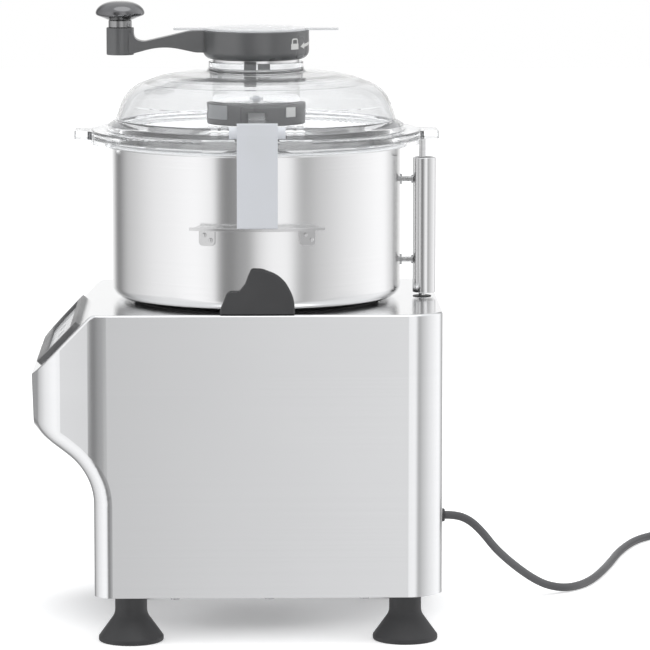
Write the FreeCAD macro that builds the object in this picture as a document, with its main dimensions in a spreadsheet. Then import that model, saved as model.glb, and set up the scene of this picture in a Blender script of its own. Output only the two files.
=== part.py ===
"""Bench-top bowl cutter: a motor in a folded steel case drives two sickle knives in a lift-off bowl.

Millimetres. The bowl's axis is vertical at x = axis_x, +X points to the cord side, +Z up, and the
feet stand on z = 0. Each sub-part is drawn about the bowl's axis and then shifted by axis_x.
"""
import FreeCAD
import Part
import math
import os
import re
import Sketcher

Vector = FreeCAD.Vector
Rotation = FreeCAD.Rotation
DOC = FreeCAD.newDocument("BowlCutter")
SHEET = DOC.addObject("Spreadsheet::Sheet", "Sizes")
SIZES = {}
PIECES = []

CASE_SIZES = {
    "case_width": 258.0, "case_front": 138.7, "case_rear": 157.0, "case_bottom": 41.5, "case_top": 282.5,
    "case_wall": 1.5, "rear_round": 30.0, "front_round": 16.0, "top_edge_round": 2.5, "fold_round": 10.0,
    "bend_reach": 139.6, "nose_reach": 191.3, "nose_top": 228.0, "nose_low_reach": 189.7,
    "nose_low": 183.0, "throat_level": 146.0, "throat_round": 51.0,
    "cheek_start": 135.0, "cheek_round": 60.0, "cheek_corner": 180.0, "cheek_draw": 12.5,
    "cheek_corner_round": 30.0, "cheek_run": 20.0, "cheek_fall": 46.5,
    "flange_width": 14.0, "plate_wall": 2.0, "plate_gap": 0.3,
}
FOOT_SIZES = {
    "foot_front": 108.0, "foot_rear": 125.6, "foot_inset": 29.0, "foot_base": 27.7, "foot_column": 13.65,
    "foot_rim": 4.0, "foot_neck": 23.5, "stud_radius": 4.0, "stud_depth": 14.0, "nut_height": 6.5,
    "nut_across": 13.0, "stud_top": 5.0, "thread_gap": 0.1,
}
DRIVE_SIZES = {
    "motor_radius": 66.0, "motor_bottom": 104.0, "flange_thick": 7.0,
    "flange_radius": 82.0, "fin_count": 24.0, "fin_depth": 5.0, "fin_width": 6.0, "mount_plate_thick": 6.0,
    "mount_plate_half": 96.0, "motor_bolt_pitch": 74.0, "bolt_radius": 3.0, "bolt_head_radius": 5.5,
    "bolt_head_height": 4.0, "shaft_radius": 8.0, "shaft_bottom": 84.0, "hex_across": 12.0,
    "hex_bottom": 342.0, "shaft_top": 362.0, "running_gap": 0.05, "bearing_radius": 21.0,
    "bearing_wall": 3.0, "seal_radius": 18.0, "seal_height": 5.0, "fan_radius": 54.0, "fan_height": 12.0,
    "fan_blades": 8.0, "fan_blade_wall": 2.5, "seat_outer": 106.0, "seat_inner": 80.0, "seat_height": 4.5,
    "seat_screw_pitch": 90.0, "small_screw_radius": 2.0, "small_head_radius": 4.0, "small_head_height": 2.0,
}
BOWL_SIZES = {
    "bowl_radius": 124.6, "bowl_wall": 1.5, "bowl_floor": 2.0, "bowl_top": 418.5, "bowl_round": 15.0,
    "bead_width": 2.6, "bead_height": 4.0, "chimney_radius": 16.5, "chimney_bore": 13.5,
    "chimney_top": 341.0, "handle_x": 145.5, "handle_radius": 10.0,
    "handle_wall": 1.5, "handle_low": 286.1, "handle_high": 403.6, "standoff_radius": 2.2,
    "standoff_low": 314.7, "standoff_high": 384.7, "standoff_flange": 4.5, "bush_length": 5.0,
    "rod_radius": 3.15, "rod_offset": 1.6, "rod_gap": 0.3, "shelf_outer": 137.5, "shelf_level": 353.5,
    "shelf_wall": 2.0, "shelf_angle": 48.0, "bracket_drop": 14.0, "bracket_angle": 6.5,
    "bracket_spread": 16.5, "bracket_wall": 2.0, "rivet_radius": 1.8, "rivet_head": 1.0,
}
KNIFE_SIZES = {
    "bush_radius": 20.5, "bush_bottom": 290.5, "bush_height": 20.0, "hub_radius": 25.0,
    "hub_wall_gap": 0.05,
    "hub_bottom": 290.8, "hub_top": 366.0, "hub_neck": 17.5, "blade_wall": 2.2,
    "blade_low": 296.0, "blade_high": 319.0, "blade_tip": 116.0,
    "blade_turn": 70.0, "hub_cap_radius": 20.0, "hub_cap_height": 8.0,
}
LID_SIZES = {
    "lid_wall": 3.0, "lid_flange": 143.0, "flange_low": 421.0, "flange_high": 428.5, "lip_low": 417.5,
    "lip_wall": 2.5, "lid_bore": 118.5, "ring_radius": 128.0, "ring_top": 433.0, "dome_base": 121.5,
    "dome_level": 437.0, "dome_shoulder": 464.0, "dome_shoulder_radius": 112.0, "dome_crown": 477.0,
    "dome_crown_radius": 80.0, "neck_radius": 41.0, "neck_top": 487.0, "rib_inner": 128.3,
    "rib_outer": 131.0, "rib_low": 415.5, "tab_front": 156.4, "tab_rear": 157.3, "tab_half": 17.0,
    "hook_inset": 10.4, "hook_low": 406.0, "seal_inner": 119.5, "seal_outer": 127.4, "seal_gap": 0.3,
    "pin_out": 144.5, "pin_level": 436.8, "pin_radius": 2.0, "lug_radius": 5.5, "lug_inner_low": 24.5,
    "lug_inner_high": 30.0, "lug_outer_low": 32.5, "lug_outer_high": 38.5, "pad_inner": 18.5,
    "pad_outer": 46.0, "pad_out": 149.0, "pad_in": 132.0, "pad_top": 430.0,
    "latch_half": 17.0, "latch_top": 445.0, "latch_bottom": 357.0, "latch_wall": 2.6,
    "latch_lean": 4.0, "latch_toe_gap": 0.4, "latch_toe_height": 4.0, "barrel_radius": 5.0,
    "barrel_half": 23.5,
}
CRANK_SIZES = {
    "hub_disc_radius": 45.8, "disc_low": 489.0, "disc_high": 513.7, "disc_round": 7.0, "chute_radius": 30.0,
    "sleeve_radius": 37.9, "sleeve_low": 453.0, "sleeve_bore": 33.0, "boss_out": 116.9,
    "boss_radius": 11.85, "boss_low": 492.6, "boss_high": 516.2, "arm_half": 9.0, "axle_radius": 4.0,
    "axle_depth": 12.0, "collar_radius": 10.0, "collar_height": 6.2, "knob_radius": 21.1,
    "knob_gap": 0.3, "knob_belly": 5.9, "knob_height": 16.2, "carrier_radius": 42.5,
    "carrier_low": 434.0, "ear_out": 52.0, "ear_half": 9.0, "arm_out": 117.5, "arm_low": 376.0,
    "arm_wall": 6.0, "scraper_half": 7.0, "wiper_out": 122.0, "wiper_top": 416.0, "wiper_half": 2.0,
    "cap_radius": 44.5, "cap_low": 514.0, "cap_wall": 1.8, "cap_dome": 518.0, "cap_plug": 29.6,
    "cap_plug_wall": 2.5, "cap_plug_low": 500.0, "wing_reach": 71.0, "wing_half": 9.0,
}
PANEL_SIZES = {
    "panel_top": 16.6, "panel_bottom": 68.9, "panel_inset": 31.0, "panel_top_round": 7.0,
    "panel_low_round": 26.0, "bezel_border": 8.0, "bezel_wall": 1.6, "keypad_wall": 1.0,
    "board_gap": 10.0, "board_wall": 1.6, "board_half": 70.0, "board_top": 26.0, "board_bottom": 58.0,
    "spacer_radius": 3.0, "spacer_inset": 5.0,
}
SWITCH_SIZES = {
    "plunger_radius": 3.0, "plunger_low": 262.0, "plunger_gap": 0.3, "plunger_travel": 2.5,
    "guide_radius": 5.5,
    "guide_head": 8.0, "guide_head_height": 0.6, "guide_low": 272.0, "switch_top": 257.0,
    "switch_height": 16.0, "switch_half_x": 6.0, "switch_half_y": 14.0, "bracket_plate": 1.5,
    "bracket_half": 12.0, "block_half": 31.4, "block_front": 127.6, "block_gap": 0.6,
    "block_step": 19.5, "block_rise": 39.0, "gland_level": 89.0, "gland_reach": 164.5,
    "gland_radius": 6.5, "gland_flange": 9.0, "gland_flange_wall": 2.5, "gland_inside": 16.0,
    "capacitor_radius": 20.0, "capacitor_height": 80.0, "capacitor_x": 80.0, "capacitor_y": 95.0,
}
CORD_SIZES = {
    "cord_radius": 3.6, "coil_x": 449.0, "coil_y": 385.0, "coil_inner": 36.0, "coil_outer": 50.4,
    "coil_height": 14.4, "plug_radius": 18.0, "plug_length": 38.0, "sleeve_length": 28.0,
    "plug_pin_radius": 2.4, "plug_pin_length": 19.0, "plug_pin_spacing": 9.5,
}

# Route of the cord about the bowl's axis, from the gland to the coil, and from the coil to the plug.
CORD_ROUTE = [
    (164.5, 0, 89.0), (182, 0, 88.5), (200, 4, 80), (216, 17, 64), (232, 38, 43), (250, 62, 23),
    (271, 84, 8.5), (293, 108, 3.7), (312, 150, 3.6), (329, 212, 3.6), (343, 277, 3.6), (366, 335, 3.6),
    (389, 362, 3.6), (405, 401, 3.6),
]
TAIL_ROUTE = [(493, 369, 10.8), (486, 349, 11.6), (478, 327, 15.2), (472, 302, 18.0)]


def fill_sheet():
    """Write every driving size into the sheet and give its cell the size's name."""
    groups = (CASE_SIZES, FOOT_SIZES, DRIVE_SIZES, BOWL_SIZES, KNIFE_SIZES, LID_SIZES, CRANK_SIZES,
              PANEL_SIZES, SWITCH_SIZES, CORD_SIZES)
    row = 1
    for group in groups:
        for name, size in group.items():
            SHEET.set(f"A{row}", name)
            SHEET.set(f"B{row}", str(size))
            SHEET.setAlias(f"B{row}", name)
            SIZES[name] = size
            row += 1
    derived = {
        "axis_x": "=(nose_reach - gland_reach) / 2",
        "slope_angle": "=atan((case_top - nose_top) / (nose_reach - bend_reach)) / 1 deg",
        "bowl_low": "=case_top + seat_height",
        "plate_level": "=case_top - case_wall - mount_plate_thick",
        "cheek_corner_half": "=case_width / 2 - cheek_draw",
        "foot_side": "=case_width / 2 - foot_inset",
        "panel_half": "=case_width / 2 - panel_inset",
        "block_shoulder": "=case_top + block_step",
        "block_top": "=case_top + block_rise",
        "hook_reach": "=tab_front - hook_inset",
        "knob_low": "=boss_high + collar_height + knob_gap",
        "knob_wide": "=knob_low + knob_belly",
        "knob_top": "=knob_low + knob_height",
    }
    for name, formula in derived.items():
        SHEET.set(f"A{row}", name)
        SHEET.set(f"B{row}", formula)
        SHEET.setAlias(f"B{row}", name)
        SIZES[name] = 0.0
        row += 1
    DOC.recompute()
    for name in derived:
        SIZES[name] = float(SHEET.get(name))


def bind(text):
    """The same expression, reading each size from the sheet."""
    return re.sub(r"[a-z_]+[a-z0-9_]*", lambda word: f"Sizes.{word[0]}" if word[0] in SIZES else word[0],
                  str(text))


def value(text):
    """The number that an expression has now."""
    return float(DOC.Sizes.evalExpression(bind(text)))


def circle(x, y, radius):
    """A loop for a sketch: a circle."""
    return ("circle", x, y, radius)


def polygon(*corners):
    """A loop for a sketch: corners (x, y) or (x, y, rounding), in counter-clockwise order."""
    return ("polygon", corners)


def rectangle(left, low, right, high, rounding=None):
    """A loop for a sketch: an upright rectangle, with its corners rounded where that is given."""
    corners = [(left, low), (right, low), (right, high), (left, high)]
    if rounding:
        corners = [corner + (rounding,) for corner in corners]
    return ("polygon", corners)


def draw_circle(sketch, loop):
    """Draw a circle whose centre and radius follow the sheet."""
    _, x, y, radius = loop
    centre = Vector(value(x), value(y), 0)
    index = sketch.addGeometry(Part.Circle(centre, Vector(0, 0, 1), value(radius)), False)
    for kind, place, text in (("DistanceX", 3, x), ("DistanceY", 3, y), ("Radius", None, radius)):
        arguments = (index, value(text)) if place is None else (index, place, value(text))
        constraint = sketch.addConstraint(Sketcher.Constraint(kind, *arguments))
        sketch.setExpression(f"Constraints[{constraint}]", bind(text))


def draw_polygon(sketch, corners):
    """Draw straight edges between corners, with a tangent arc at each rounded one."""
    points = [Vector(value(corner[0]), value(corner[1]), 0) for corner in corners]
    count = len(points)
    arrive = list(points)
    leave = list(points)
    arcs = {}
    for index, corner in enumerate(corners):
        if len(corner) < 3:
            continue
        point = points[index]
        before = (point - points[index - 1]).normalize()
        after = (points[(index + 1) % count] - point).normalize()
        turn = before.getAngle(after)
        radius = value(corner[2])
        reach = radius * math.tan(turn / 2)
        arrive[index] = point - before * reach
        leave[index] = point + after * reach
        inward = ((arrive[index] + leave[index]) / 2 - point).normalize()
        centre = point + inward * (radius / math.cos(turn / 2))
        left_turn = before.cross(after).z > 0
        ends = (arrive[index], leave[index]) if left_turn else (leave[index], arrive[index])
        angles = [math.atan2(end.y - centre.y, end.x - centre.x) for end in ends]
        arcs[index] = (Part.ArcOfCircle(Part.Circle(centre, Vector(0, 0, 1), radius), *angles), left_turn)
    lines = [sketch.addGeometry(Part.LineSegment(leave[i], arrive[(i + 1) % count]), False)
             for i in range(count)]
    for index, corner in enumerate(corners):
        previous = lines[index - 1]
        following = lines[index]
        if index in arcs:
            arc, left_turn = arcs[index]
            bend = sketch.addGeometry(arc, False)
            first, last = (1, 2) if left_turn else (2, 1)
            target = sketch.addGeometry(Part.Point(points[index]), True)
            sketch.addConstraint(Sketcher.Constraint("Tangent", previous, 2, bend, first))
            sketch.addConstraint(Sketcher.Constraint("Tangent", bend, last, following, 1))
            sketch.addConstraint(Sketcher.Constraint("PointOnObject", target, 1, previous))
            sketch.addConstraint(Sketcher.Constraint("PointOnObject", target, 1, following))
            size = sketch.addConstraint(Sketcher.Constraint("Radius", bend, value(corner[2])))
            sketch.setExpression(f"Constraints[{size}]", bind(corner[2]))
            place = target
        else:
            sketch.addConstraint(Sketcher.Constraint("Coincident", previous, 2, following, 1))
            place = following
        for kind, text in (("DistanceX", corner[0]), ("DistanceY", corner[1])):
            constraint = sketch.addConstraint(Sketcher.Constraint(kind, place, 1, value(text)))
            sketch.setExpression(f"Constraints[{constraint}]", bind(text))


def draw(sketch, loops):
    """Draw every loop into a sketch."""
    for loop in loops:
        if loop[0] == "circle":
            draw_circle(sketch, loop)
        else:
            draw_polygon(sketch, loop[1])


class Piece:
    """One sub-part: a body whose sketches and features read the sheet."""

    def __init__(self, label, x="axis_x", y="0", z="0", turn_axis=(0, 0, 1), turn="0"):
        self.body = DOC.addObject("PartDesign::Body", label)
        self.body.Label = label
        self.label = label
        self.steps = 0
        self.body.Placement = FreeCAD.Placement(Vector(0, 0, 0), Rotation(Vector(*turn_axis), 1))
        self.body.setExpression("Placement.Base.x", bind(x))
        self.body.setExpression("Placement.Base.y", bind(y))
        self.body.setExpression("Placement.Base.z", bind(z))
        self.body.setExpression("Placement.Rotation.Angle", bind(turn))
        PIECES.append(self.body)

    def origin(self, role):
        """The body's own plane or axis of that name."""
        return next(item for item in self.body.Origin.OriginFeatures if item.Role == role)

    def sketch(self, plane, loops, level="0"):
        """A sketch on one of the body's planes, moved along the plane's normal."""
        self.steps += 1
        sketch = self.body.newObject("Sketcher::SketchObject", f"{self.label}_sketch_{self.steps}")
        sketch.AttachmentSupport = [(self.origin(plane), "")]
        sketch.MapMode = "FlatFace"
        sketch.setExpression("AttachmentOffset.Base.z", bind(level))
        draw(sketch, loops)
        return sketch

    def feature(self, kind, name):
        """A new feature of the body, in the order of making."""
        self.steps += 1
        return self.body.newObject(f"PartDesign::{kind}", f"{self.label}_{name}_{self.steps}")

    def revolve(self, *loops, kind="Revolution", plane="XZ_Plane", angle="360"):
        """Turn an outline about the body's vertical axis, half of the angle each side."""
        sketch = self.sketch(plane, loops)
        feature = self.feature(kind, kind.lower())
        feature.Profile = sketch
        feature.ReferenceAxis = (self.origin("Z_Axis"), [""])
        feature.Midplane = True
        feature.setExpression("Angle", bind(angle))
        return feature

    def extrude(self, kind, plane, loops, low, high):
        """A pad or pocket between two levels along the plane's world axis."""
        level = f"-({high})" if plane == "XZ_Plane" else low
        sketch = self.sketch(plane, loops, level)
        feature = self.feature(kind, kind.lower())
        feature.Profile = sketch
        feature.Reversed = kind == "Pocket"
        feature.setExpression("Length", bind(f"({high}) - ({low})"))
        return feature

    def pad(self, plane, low, high, *loops):
        """Add material between two levels."""
        return self.extrude("Pad", plane, loops, low, high)

    def pocket(self, plane, low, high, *loops):
        """Cut material away between two levels."""
        return self.extrude("Pocket", plane, loops, low, high)

    def repeat(self, features, count, turn="360"):
        """Repeat features round the body's vertical axis."""
        pattern = self.feature("PolarPattern", "pattern")
        pattern.Originals = features
        pattern.Axis = (self.origin("Z_Axis"), [""])
        pattern.setExpression("Angle", bind(turn))
        pattern.setExpression("Occurrences", bind(count))
        self.body.Tip = pattern
        return pattern


def free_sketch(name, loops, upright):
    """A sketch outside a body, flat or standing in the XZ plane."""
    sketch = DOC.addObject("Sketcher::SketchObject", name)
    if upright:
        sketch.Placement = FreeCAD.Placement(Vector(0, 0, 0), Rotation(Vector(1, 0, 0), 90))
    draw(sketch, loops)
    return sketch


def extrusion(name, source, direction, low, high):
    """A solid from an outline, between two levels along a world axis."""
    solid = DOC.addObject("Part::Extrusion", name)
    solid.Base = source
    solid.DirMode = "Custom"
    solid.Dir = direction
    solid.Solid = True
    solid.setExpression("LengthFwd", bind(high))
    solid.setExpression("LengthRev", bind(f"-({low})"))
    return solid


def boolean(kind, name, base, tool):
    """A cut or a common of two solids."""
    result = DOC.addObject(f"Part::{kind}", name)
    result.Base = base
    result.Tool = tool
    return result


def offset_outline(name, source, distance):
    """An outline that lies beside another at an even distance."""
    outline = DOC.addObject("Part::Offset2D", name)
    outline.Source = source
    outline.Join = "Intersection"
    outline.setExpression("Value", bind(distance))
    return outline


def case_profile():
    """Side view of the case: upright back, sloping panel, nose and the curved throat under it."""
    return polygon(
        ("case_rear", "case_bottom"), ("case_rear", "case_top"), ("-bend_reach", "case_top", "fold_round"),
        ("-nose_reach", "nose_top"), ("-nose_low_reach", "nose_low"),
        ("-case_front", "throat_level", "throat_round"), ("-case_front", "case_bottom"))


def case_plan():
    """Plan of the case: rounded back corners and the drawn-in cheeks of the nose."""
    half = "case_width / 2"
    side = [
        ("case_rear", half, "rear_round"), ("-cheek_start", half, "cheek_round"),
        ("-cheek_corner", "cheek_corner_half", "cheek_corner_round"),
        ("-cheek_corner - cheek_run", "cheek_corner_half - cheek_fall")]
    mirrored = [(corner[0], f"-({corner[1]})") + corner[2:] for corner in reversed(side)]
    return polygon(*side, *mirrored)


def edges_of(shape, chosen):
    """The numbers of the edges that a test on their boxes picks."""
    return [i + 1 for i, edge in enumerate(shape.Edges) if chosen(edge.BoundBox)]


def rounded(name, base, radius, chosen):
    """A solid with some edges rounded."""
    DOC.recompute()
    fillet = DOC.addObject("Part::Fillet", name)
    fillet.Base = base
    size = value(radius)
    fillet.Edges = [(number, size, size) for number in edges_of(base.Shape, chosen)]
    return fillet


def make_housing_shell():
    """The folded sheet case: outer form, inner form and the holes for what passes through it."""
    profile = free_sketch("case_profile", [case_profile()], True)
    plan = free_sketch("case_plan", [case_plan()], False)
    side = extrusion("case_side", profile, Vector(0, 1, 0), "-case_width", "case_width")
    footprint = extrusion("case_footprint", plan, Vector(0, 0, 1), "0", "2 * case_top")
    block = boolean("Common", "case_block", side, footprint)
    front = value("case_front")
    bottom = value("case_bottom")
    low_corner = rounded("case_low_corners", block, "front_round", lambda box: (
        box.XMax < -front + 0.5 and box.ZMin < bottom + 0.5 and box.ZLength > 10 and box.YLength < 0.5))
    top = value("case_top")
    bend = -value("bend_reach")
    body = rounded("case_top_edges", low_corner, "top_edge_round", lambda box: (
        box.ZMin > top - 0.2 and box.XMax > bend + value("fold_round") and box.ZLength < 0.2
        and box.YLength < value("case_width") - 1 or box.ZMin > top - 0.2 and box.XMin > 100))
    inner_profile = offset_outline("case_inner_profile", profile, "-case_wall")
    inner_plan = offset_outline("case_inner_plan", plan, "-case_wall")
    inner_side = extrusion("case_inner_side", inner_profile, Vector(0, 1, 0), "-case_width", "case_width")
    inner_footprint = extrusion("case_inner_footprint", inner_plan, Vector(0, 0, 1),
                                "case_bottom + plate_wall + case_wall", "2 * case_top")
    room_block = boolean("Common", "case_room_block", inner_side, inner_footprint)
    room = rounded("case_room", room_block, "front_round - case_wall", lambda box: (
        box.XMax < -front + 2.0 and box.ZMin < bottom + 6.0 and box.ZLength > 10 and box.YLength < 0.5))
    shell = boolean("Cut", "case_hollow", body, room)
    mouth = free_sketch("case_mouth", [plate_plan("case_wall")], False)
    recess = extrusion("case_recess", mouth, Vector(0, 0, 1), "0", "case_bottom + plate_wall")
    opening = free_sketch("case_opening", [plate_plan("flange_width")], False)
    gap = extrusion("case_gap", opening, Vector(0, 0, 1), "0", "case_bottom + 2 * plate_wall + case_wall")
    shell = boolean("Cut", "case_recessed", shell, recess)
    shell = boolean("Cut", "case_opened", shell, gap)
    for name, x, y, radius, low, high in (
            ("shaft_hole", "0", "0", "seal_radius - 3", "plate_level", "case_top + 1"),
            ("guide_hole", "handle_x - rod_offset", "0", "guide_radius + 0.1", "plate_level",
             "case_top + 1")):
        tool = upright_cylinder(name, x, y, radius, low, high)
        shell = boolean("Cut", f"case_with_{name}", shell, tool)
    for index in range(4):
        angle = f"45 + 90 * {index}"
        tool = upright_cylinder(f"seat_hole_{index}", f"seat_screw_pitch * cos({angle})",
                                f"seat_screw_pitch * sin({angle})", "small_screw_radius + 0.2",
                                "plate_level", "case_top + 1")
        shell = boolean("Cut", f"case_drilled_{index}", shell, tool)
    for index, (x, y) in enumerate(plate_screw_places()):
        tool = upright_cylinder(f"plate_hole_{index}", x, y, "small_screw_radius + 0.1", "0",
                                "case_bottom + 3 * plate_wall")
        shell = boolean("Cut", f"case_tapped_{index}", shell, tool)
    gland = DOC.addObject("Part::Cylinder", "gland_hole")
    gland.setExpression("Radius", bind("gland_radius + 0.1"))
    gland.setExpression("Height", bind("20"))
    gland.Placement = FreeCAD.Placement(Vector(0, 0, 0), Rotation(Vector(0, 1, 0), 90))
    gland.setExpression("Placement.Base.x", bind("case_rear - 10"))
    gland.setExpression("Placement.Base.z", bind("gland_level"))
    shell = boolean("Cut", "housing_shell", shell, gland)
    shell.setExpression("Placement.Base.x", bind("axis_x"))
    PIECES.append(shell)


def upright_cylinder(name, x, y, radius, low, high):
    """A plain cylinder that stands between two levels."""
    tool = DOC.addObject("Part::Cylinder", name)
    tool.setExpression("Radius", bind(radius))
    tool.setExpression("Height", bind(f"({high}) - ({low})"))
    tool.setExpression("Placement.Base.x", bind(x))
    tool.setExpression("Placement.Base.y", bind(y))
    tool.setExpression("Placement.Base.z", bind(low))
    return tool


def plate_plan(inset):
    """Plan of the case's mouth, drawn in by a distance."""
    half = f"case_width / 2 - ({inset})"
    front = f"case_front - ({inset})"
    rear = f"case_rear - ({inset})"
    return polygon(
        (f"-({front})", f"-({half})", f"front_round - ({inset}) / 2"),
        (rear, f"-({half})", f"rear_round - ({inset})"), (rear, half, f"rear_round - ({inset})"),
        (f"-({front})", half, f"front_round - ({inset}) / 2"))


def plate_screw_places():
    """Where the screws of the base plate stand, in the middle of the case's bottom flange."""
    inset = "(flange_width + case_wall) / 2"
    side = f"case_width / 2 - {inset}"
    return [(x, f"{sign} * ({side})") for x in ("-70", "10", "90") for sign in ("1", "-1")]


def foot_places():
    """Name and place of each foot."""
    return [(f"foot_{end}_{side}", x, y) for end, x in (("front", "-foot_front"), ("rear", "foot_rear"))
            for side, y in (("near", "-foot_side"), ("far", "foot_side"))]


def make_base_plate():
    """The bottom cover with its air slots, foot holes and screw holes."""
    plate = Piece("base_plate")
    plate.pad("XY_Plane", "case_bottom", "case_bottom + plate_wall", plate_plan("case_wall + plate_gap"))
    holes = [circle(x, y, "stud_radius + thread_gap") for _, x, y in foot_places()]
    holes += [circle(x, y, "small_screw_radius + 0.1") for x, y in plate_screw_places()]
    plate.pocket("XY_Plane", "case_bottom - 1", "case_bottom + plate_wall + 1", *holes)
    slots = [rectangle("-45", f"{12 * row} - 3", "45", f"{12 * row} + 3", "2.9") for row in range(-4, 5)]
    plate.pocket("XY_Plane", "case_bottom - 1", "case_bottom + plate_wall + 1", *slots)


def make_base_screws():
    """The six screws that hold the base plate to the case's flange."""
    screws = Piece("base_screws")
    places = plate_screw_places()
    top = "case_bottom + 2 * plate_wall + case_wall"
    screws.pad("XY_Plane", "case_bottom - small_head_height", "case_bottom",
               *[circle(x, y, "small_head_radius") for x, y in places])
    screws.pad("XY_Plane", "case_bottom", top, *[circle(x, y, "small_screw_radius") for x, y in places])


def make_feet():
    """Four turned rubber feet with a flared base and a blind hole for their stud."""
    for name, x, y in foot_places():
        foot = Piece(name, x=f"axis_x + ({x})", y=y)
        foot.revolve(polygon(
            ("stud_radius + thread_gap", "case_bottom"), ("stud_radius + thread_gap",
                "case_bottom - stud_depth"),
            ("0", "case_bottom - stud_depth"), ("0", "0"), ("foot_base", "0", "1.5"),
            ("foot_base", "foot_rim", "1.8"), ("foot_column", "foot_neck", "12"),
            ("foot_column", "case_bottom")))


def make_foot_studs():
    """A threaded stud with its nut above the base plate, for each foot."""
    studs = Piece("foot_studs")
    places = [(x, y) for _, x, y in foot_places()]
    top = "case_bottom + plate_wall"
    studs.pad("XY_Plane", "case_bottom - stud_depth", f"{top} + nut_height + stud_top",
              *[circle(x, y, "stud_radius") for x, y in places])
    nuts = []
    for x, y in places:
        nuts.append(polygon(*[
            (f"{x} + nut_across / 2 / cos(30) * cos({60 * corner})",
             f"{y} + nut_across / 2 / cos(30) * sin({60 * corner})") for corner in range(6)]))
    studs.pad("XY_Plane", top, f"{top} + nut_height", *nuts)


def make_motor_case():
    """The finned motor, with a flange at its top and a bore for the shaft."""
    motor = Piece("motor_case")
    top = "plate_level"
    bore = "shaft_radius + running_gap"
    motor.revolve(polygon(
        (bore, "motor_bottom"), ("motor_radius", "motor_bottom", "6"),
        ("motor_radius", f"{top} - flange_thick", "3"), ("flange_radius", f"{top} - flange_thick"),
        ("flange_radius", top), (bore, top)))
    fin = motor.pocket("XY_Plane", "motor_bottom + 14", f"{top} - flange_thick - 14",
                       rectangle("motor_radius - fin_depth", "-fin_width / 2", "motor_radius + 5",
                                 "fin_width / 2"))
    motor.repeat([fin], "fin_count")
    holes = [circle(f"motor_bolt_pitch * cos({angle})", f"motor_bolt_pitch * sin({angle})",
                    "bolt_radius + 0.2") for angle in (0, 90, 180, 270)]
    motor.pocket("XY_Plane", f"{top} - flange_thick - 1", f"{top} + 1", *holes)


def make_motor_plate():
    """The thick plate under the case's top that carries the motor and the top bearing."""
    plate = Piece("motor_plate")
    high = "case_top - case_wall"
    half = "mount_plate_half"
    plate.pad("XY_Plane", "plate_level", high, rectangle(f"-{half}", f"-{half}", half, half, "12"))
    holes = [circle("0", "0", "bearing_radius + 0.05")]
    for angle in (0, 90, 180, 270):
        holes.append(circle(f"motor_bolt_pitch * cos({angle})", f"motor_bolt_pitch * sin({angle})",
                            "bolt_radius + 0.2"))
        holes.append(circle(f"seat_screw_pitch * cos({angle} + 45)",
                            f"seat_screw_pitch * sin({angle} + 45)", "small_screw_radius + 0.1"))
    plate.pocket("XY_Plane", "plate_level - 1", f"{high} + 1", *holes)


def make_motor_bolts():
    """Four bolts that hang the motor's flange from its plate."""
    bolts = Piece("motor_bolts")
    places = [(f"motor_bolt_pitch * cos({angle})", f"motor_bolt_pitch * sin({angle})")
              for angle in (0, 90, 180, 270)]
    low = "plate_level - flange_thick"
    bolts.pad("XY_Plane", f"{low} - bolt_head_height", low,
              *[circle(x, y, "bolt_head_radius") for x, y in places])
    bolts.pad("XY_Plane", low, "case_top - case_wall - 0.5",
        *[circle(x, y, "bolt_radius") for x, y in places])


def make_shaft_bearing():
    """The ball bearing in the motor plate: outer race, inner race and shields as one ring."""
    bearing = Piece("shaft_bearing")
    outer = "bearing_radius"
    inner = "shaft_radius + running_gap"
    high = "case_top - case_wall"
    bearing.revolve(polygon(
        (inner, "plate_level"), (f"{inner} + bearing_wall", "plate_level"),
        (f"{inner} + bearing_wall", "plate_level + 0.6"), (f"{outer} - bearing_wall", "plate_level + 0.6"),
        (f"{outer} - bearing_wall", "plate_level"), (outer, "plate_level"), (outer, high),
        (f"{outer} - bearing_wall", high), (f"{outer} - bearing_wall", f"{high} - 0.6"),
        (f"{inner} + bearing_wall", f"{high} - 0.6"), (f"{inner} + bearing_wall", high), (inner, high)))


def make_shaft_seal():
    """The lip seal round the shaft on the case's top."""
    seal = Piece("shaft_seal")
    inner = "shaft_radius + running_gap"
    seal.revolve(polygon(
        (inner, "case_top"), ("seal_radius", "case_top"), ("seal_radius", "case_top + 2"),
        (f"{inner} + 1.5", "case_top + seal_height - 0.5"), (inner, "case_top + seal_height - 0.5")))


def make_bowl_seat():
    """The dark ring that the bowl stands on."""
    seat = Piece("bowl_seat")
    seat.revolve(polygon(
        ("seat_inner", "case_top"), ("seat_outer", "case_top", "1"), ("seat_outer", "bowl_low", "2"),
        ("seat_inner", "bowl_low", "1")))
    seat.pocket("XY_Plane", "case_top - 1", "bowl_low + 1", *[
        circle(f"seat_screw_pitch * cos({angle})", f"seat_screw_pitch * sin({angle})",
               "small_screw_radius + 0.1") for angle in (45, 135, 225, 315)])
    seat.pocket("XY_Plane", "bowl_low - small_head_height - 0.3", "bowl_low + 1", *[
        circle(f"seat_screw_pitch * cos({angle})", f"seat_screw_pitch * sin({angle})",
               "small_head_radius + 0.2") for angle in (45, 135, 225, 315)])


def make_seat_screws():
    """Four screws through the seat ring and the case's top into the motor plate."""
    screws = Piece("seat_screws")
    places = [(f"seat_screw_pitch * cos({angle})", f"seat_screw_pitch * sin({angle})")
              for angle in (45, 135, 225, 315)]
    head = "bowl_low - small_head_height - 0.3"
    screws.pad("XY_Plane", head, "bowl_low - 0.3", *[circle(x, y, "small_head_radius") for x, y in places])
    screws.pad("XY_Plane", "plate_level", head, *[circle(x, y, "small_screw_radius") for x, y in places])


def slope_piece(label):
    """A body whose X runs up the slope, whose Z points out of it, and whose origin is at the fold."""
    return Piece(label, x="axis_x - bend_reach", z="case_top", turn_axis=(0, 1, 0), turn="-slope_angle")


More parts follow.
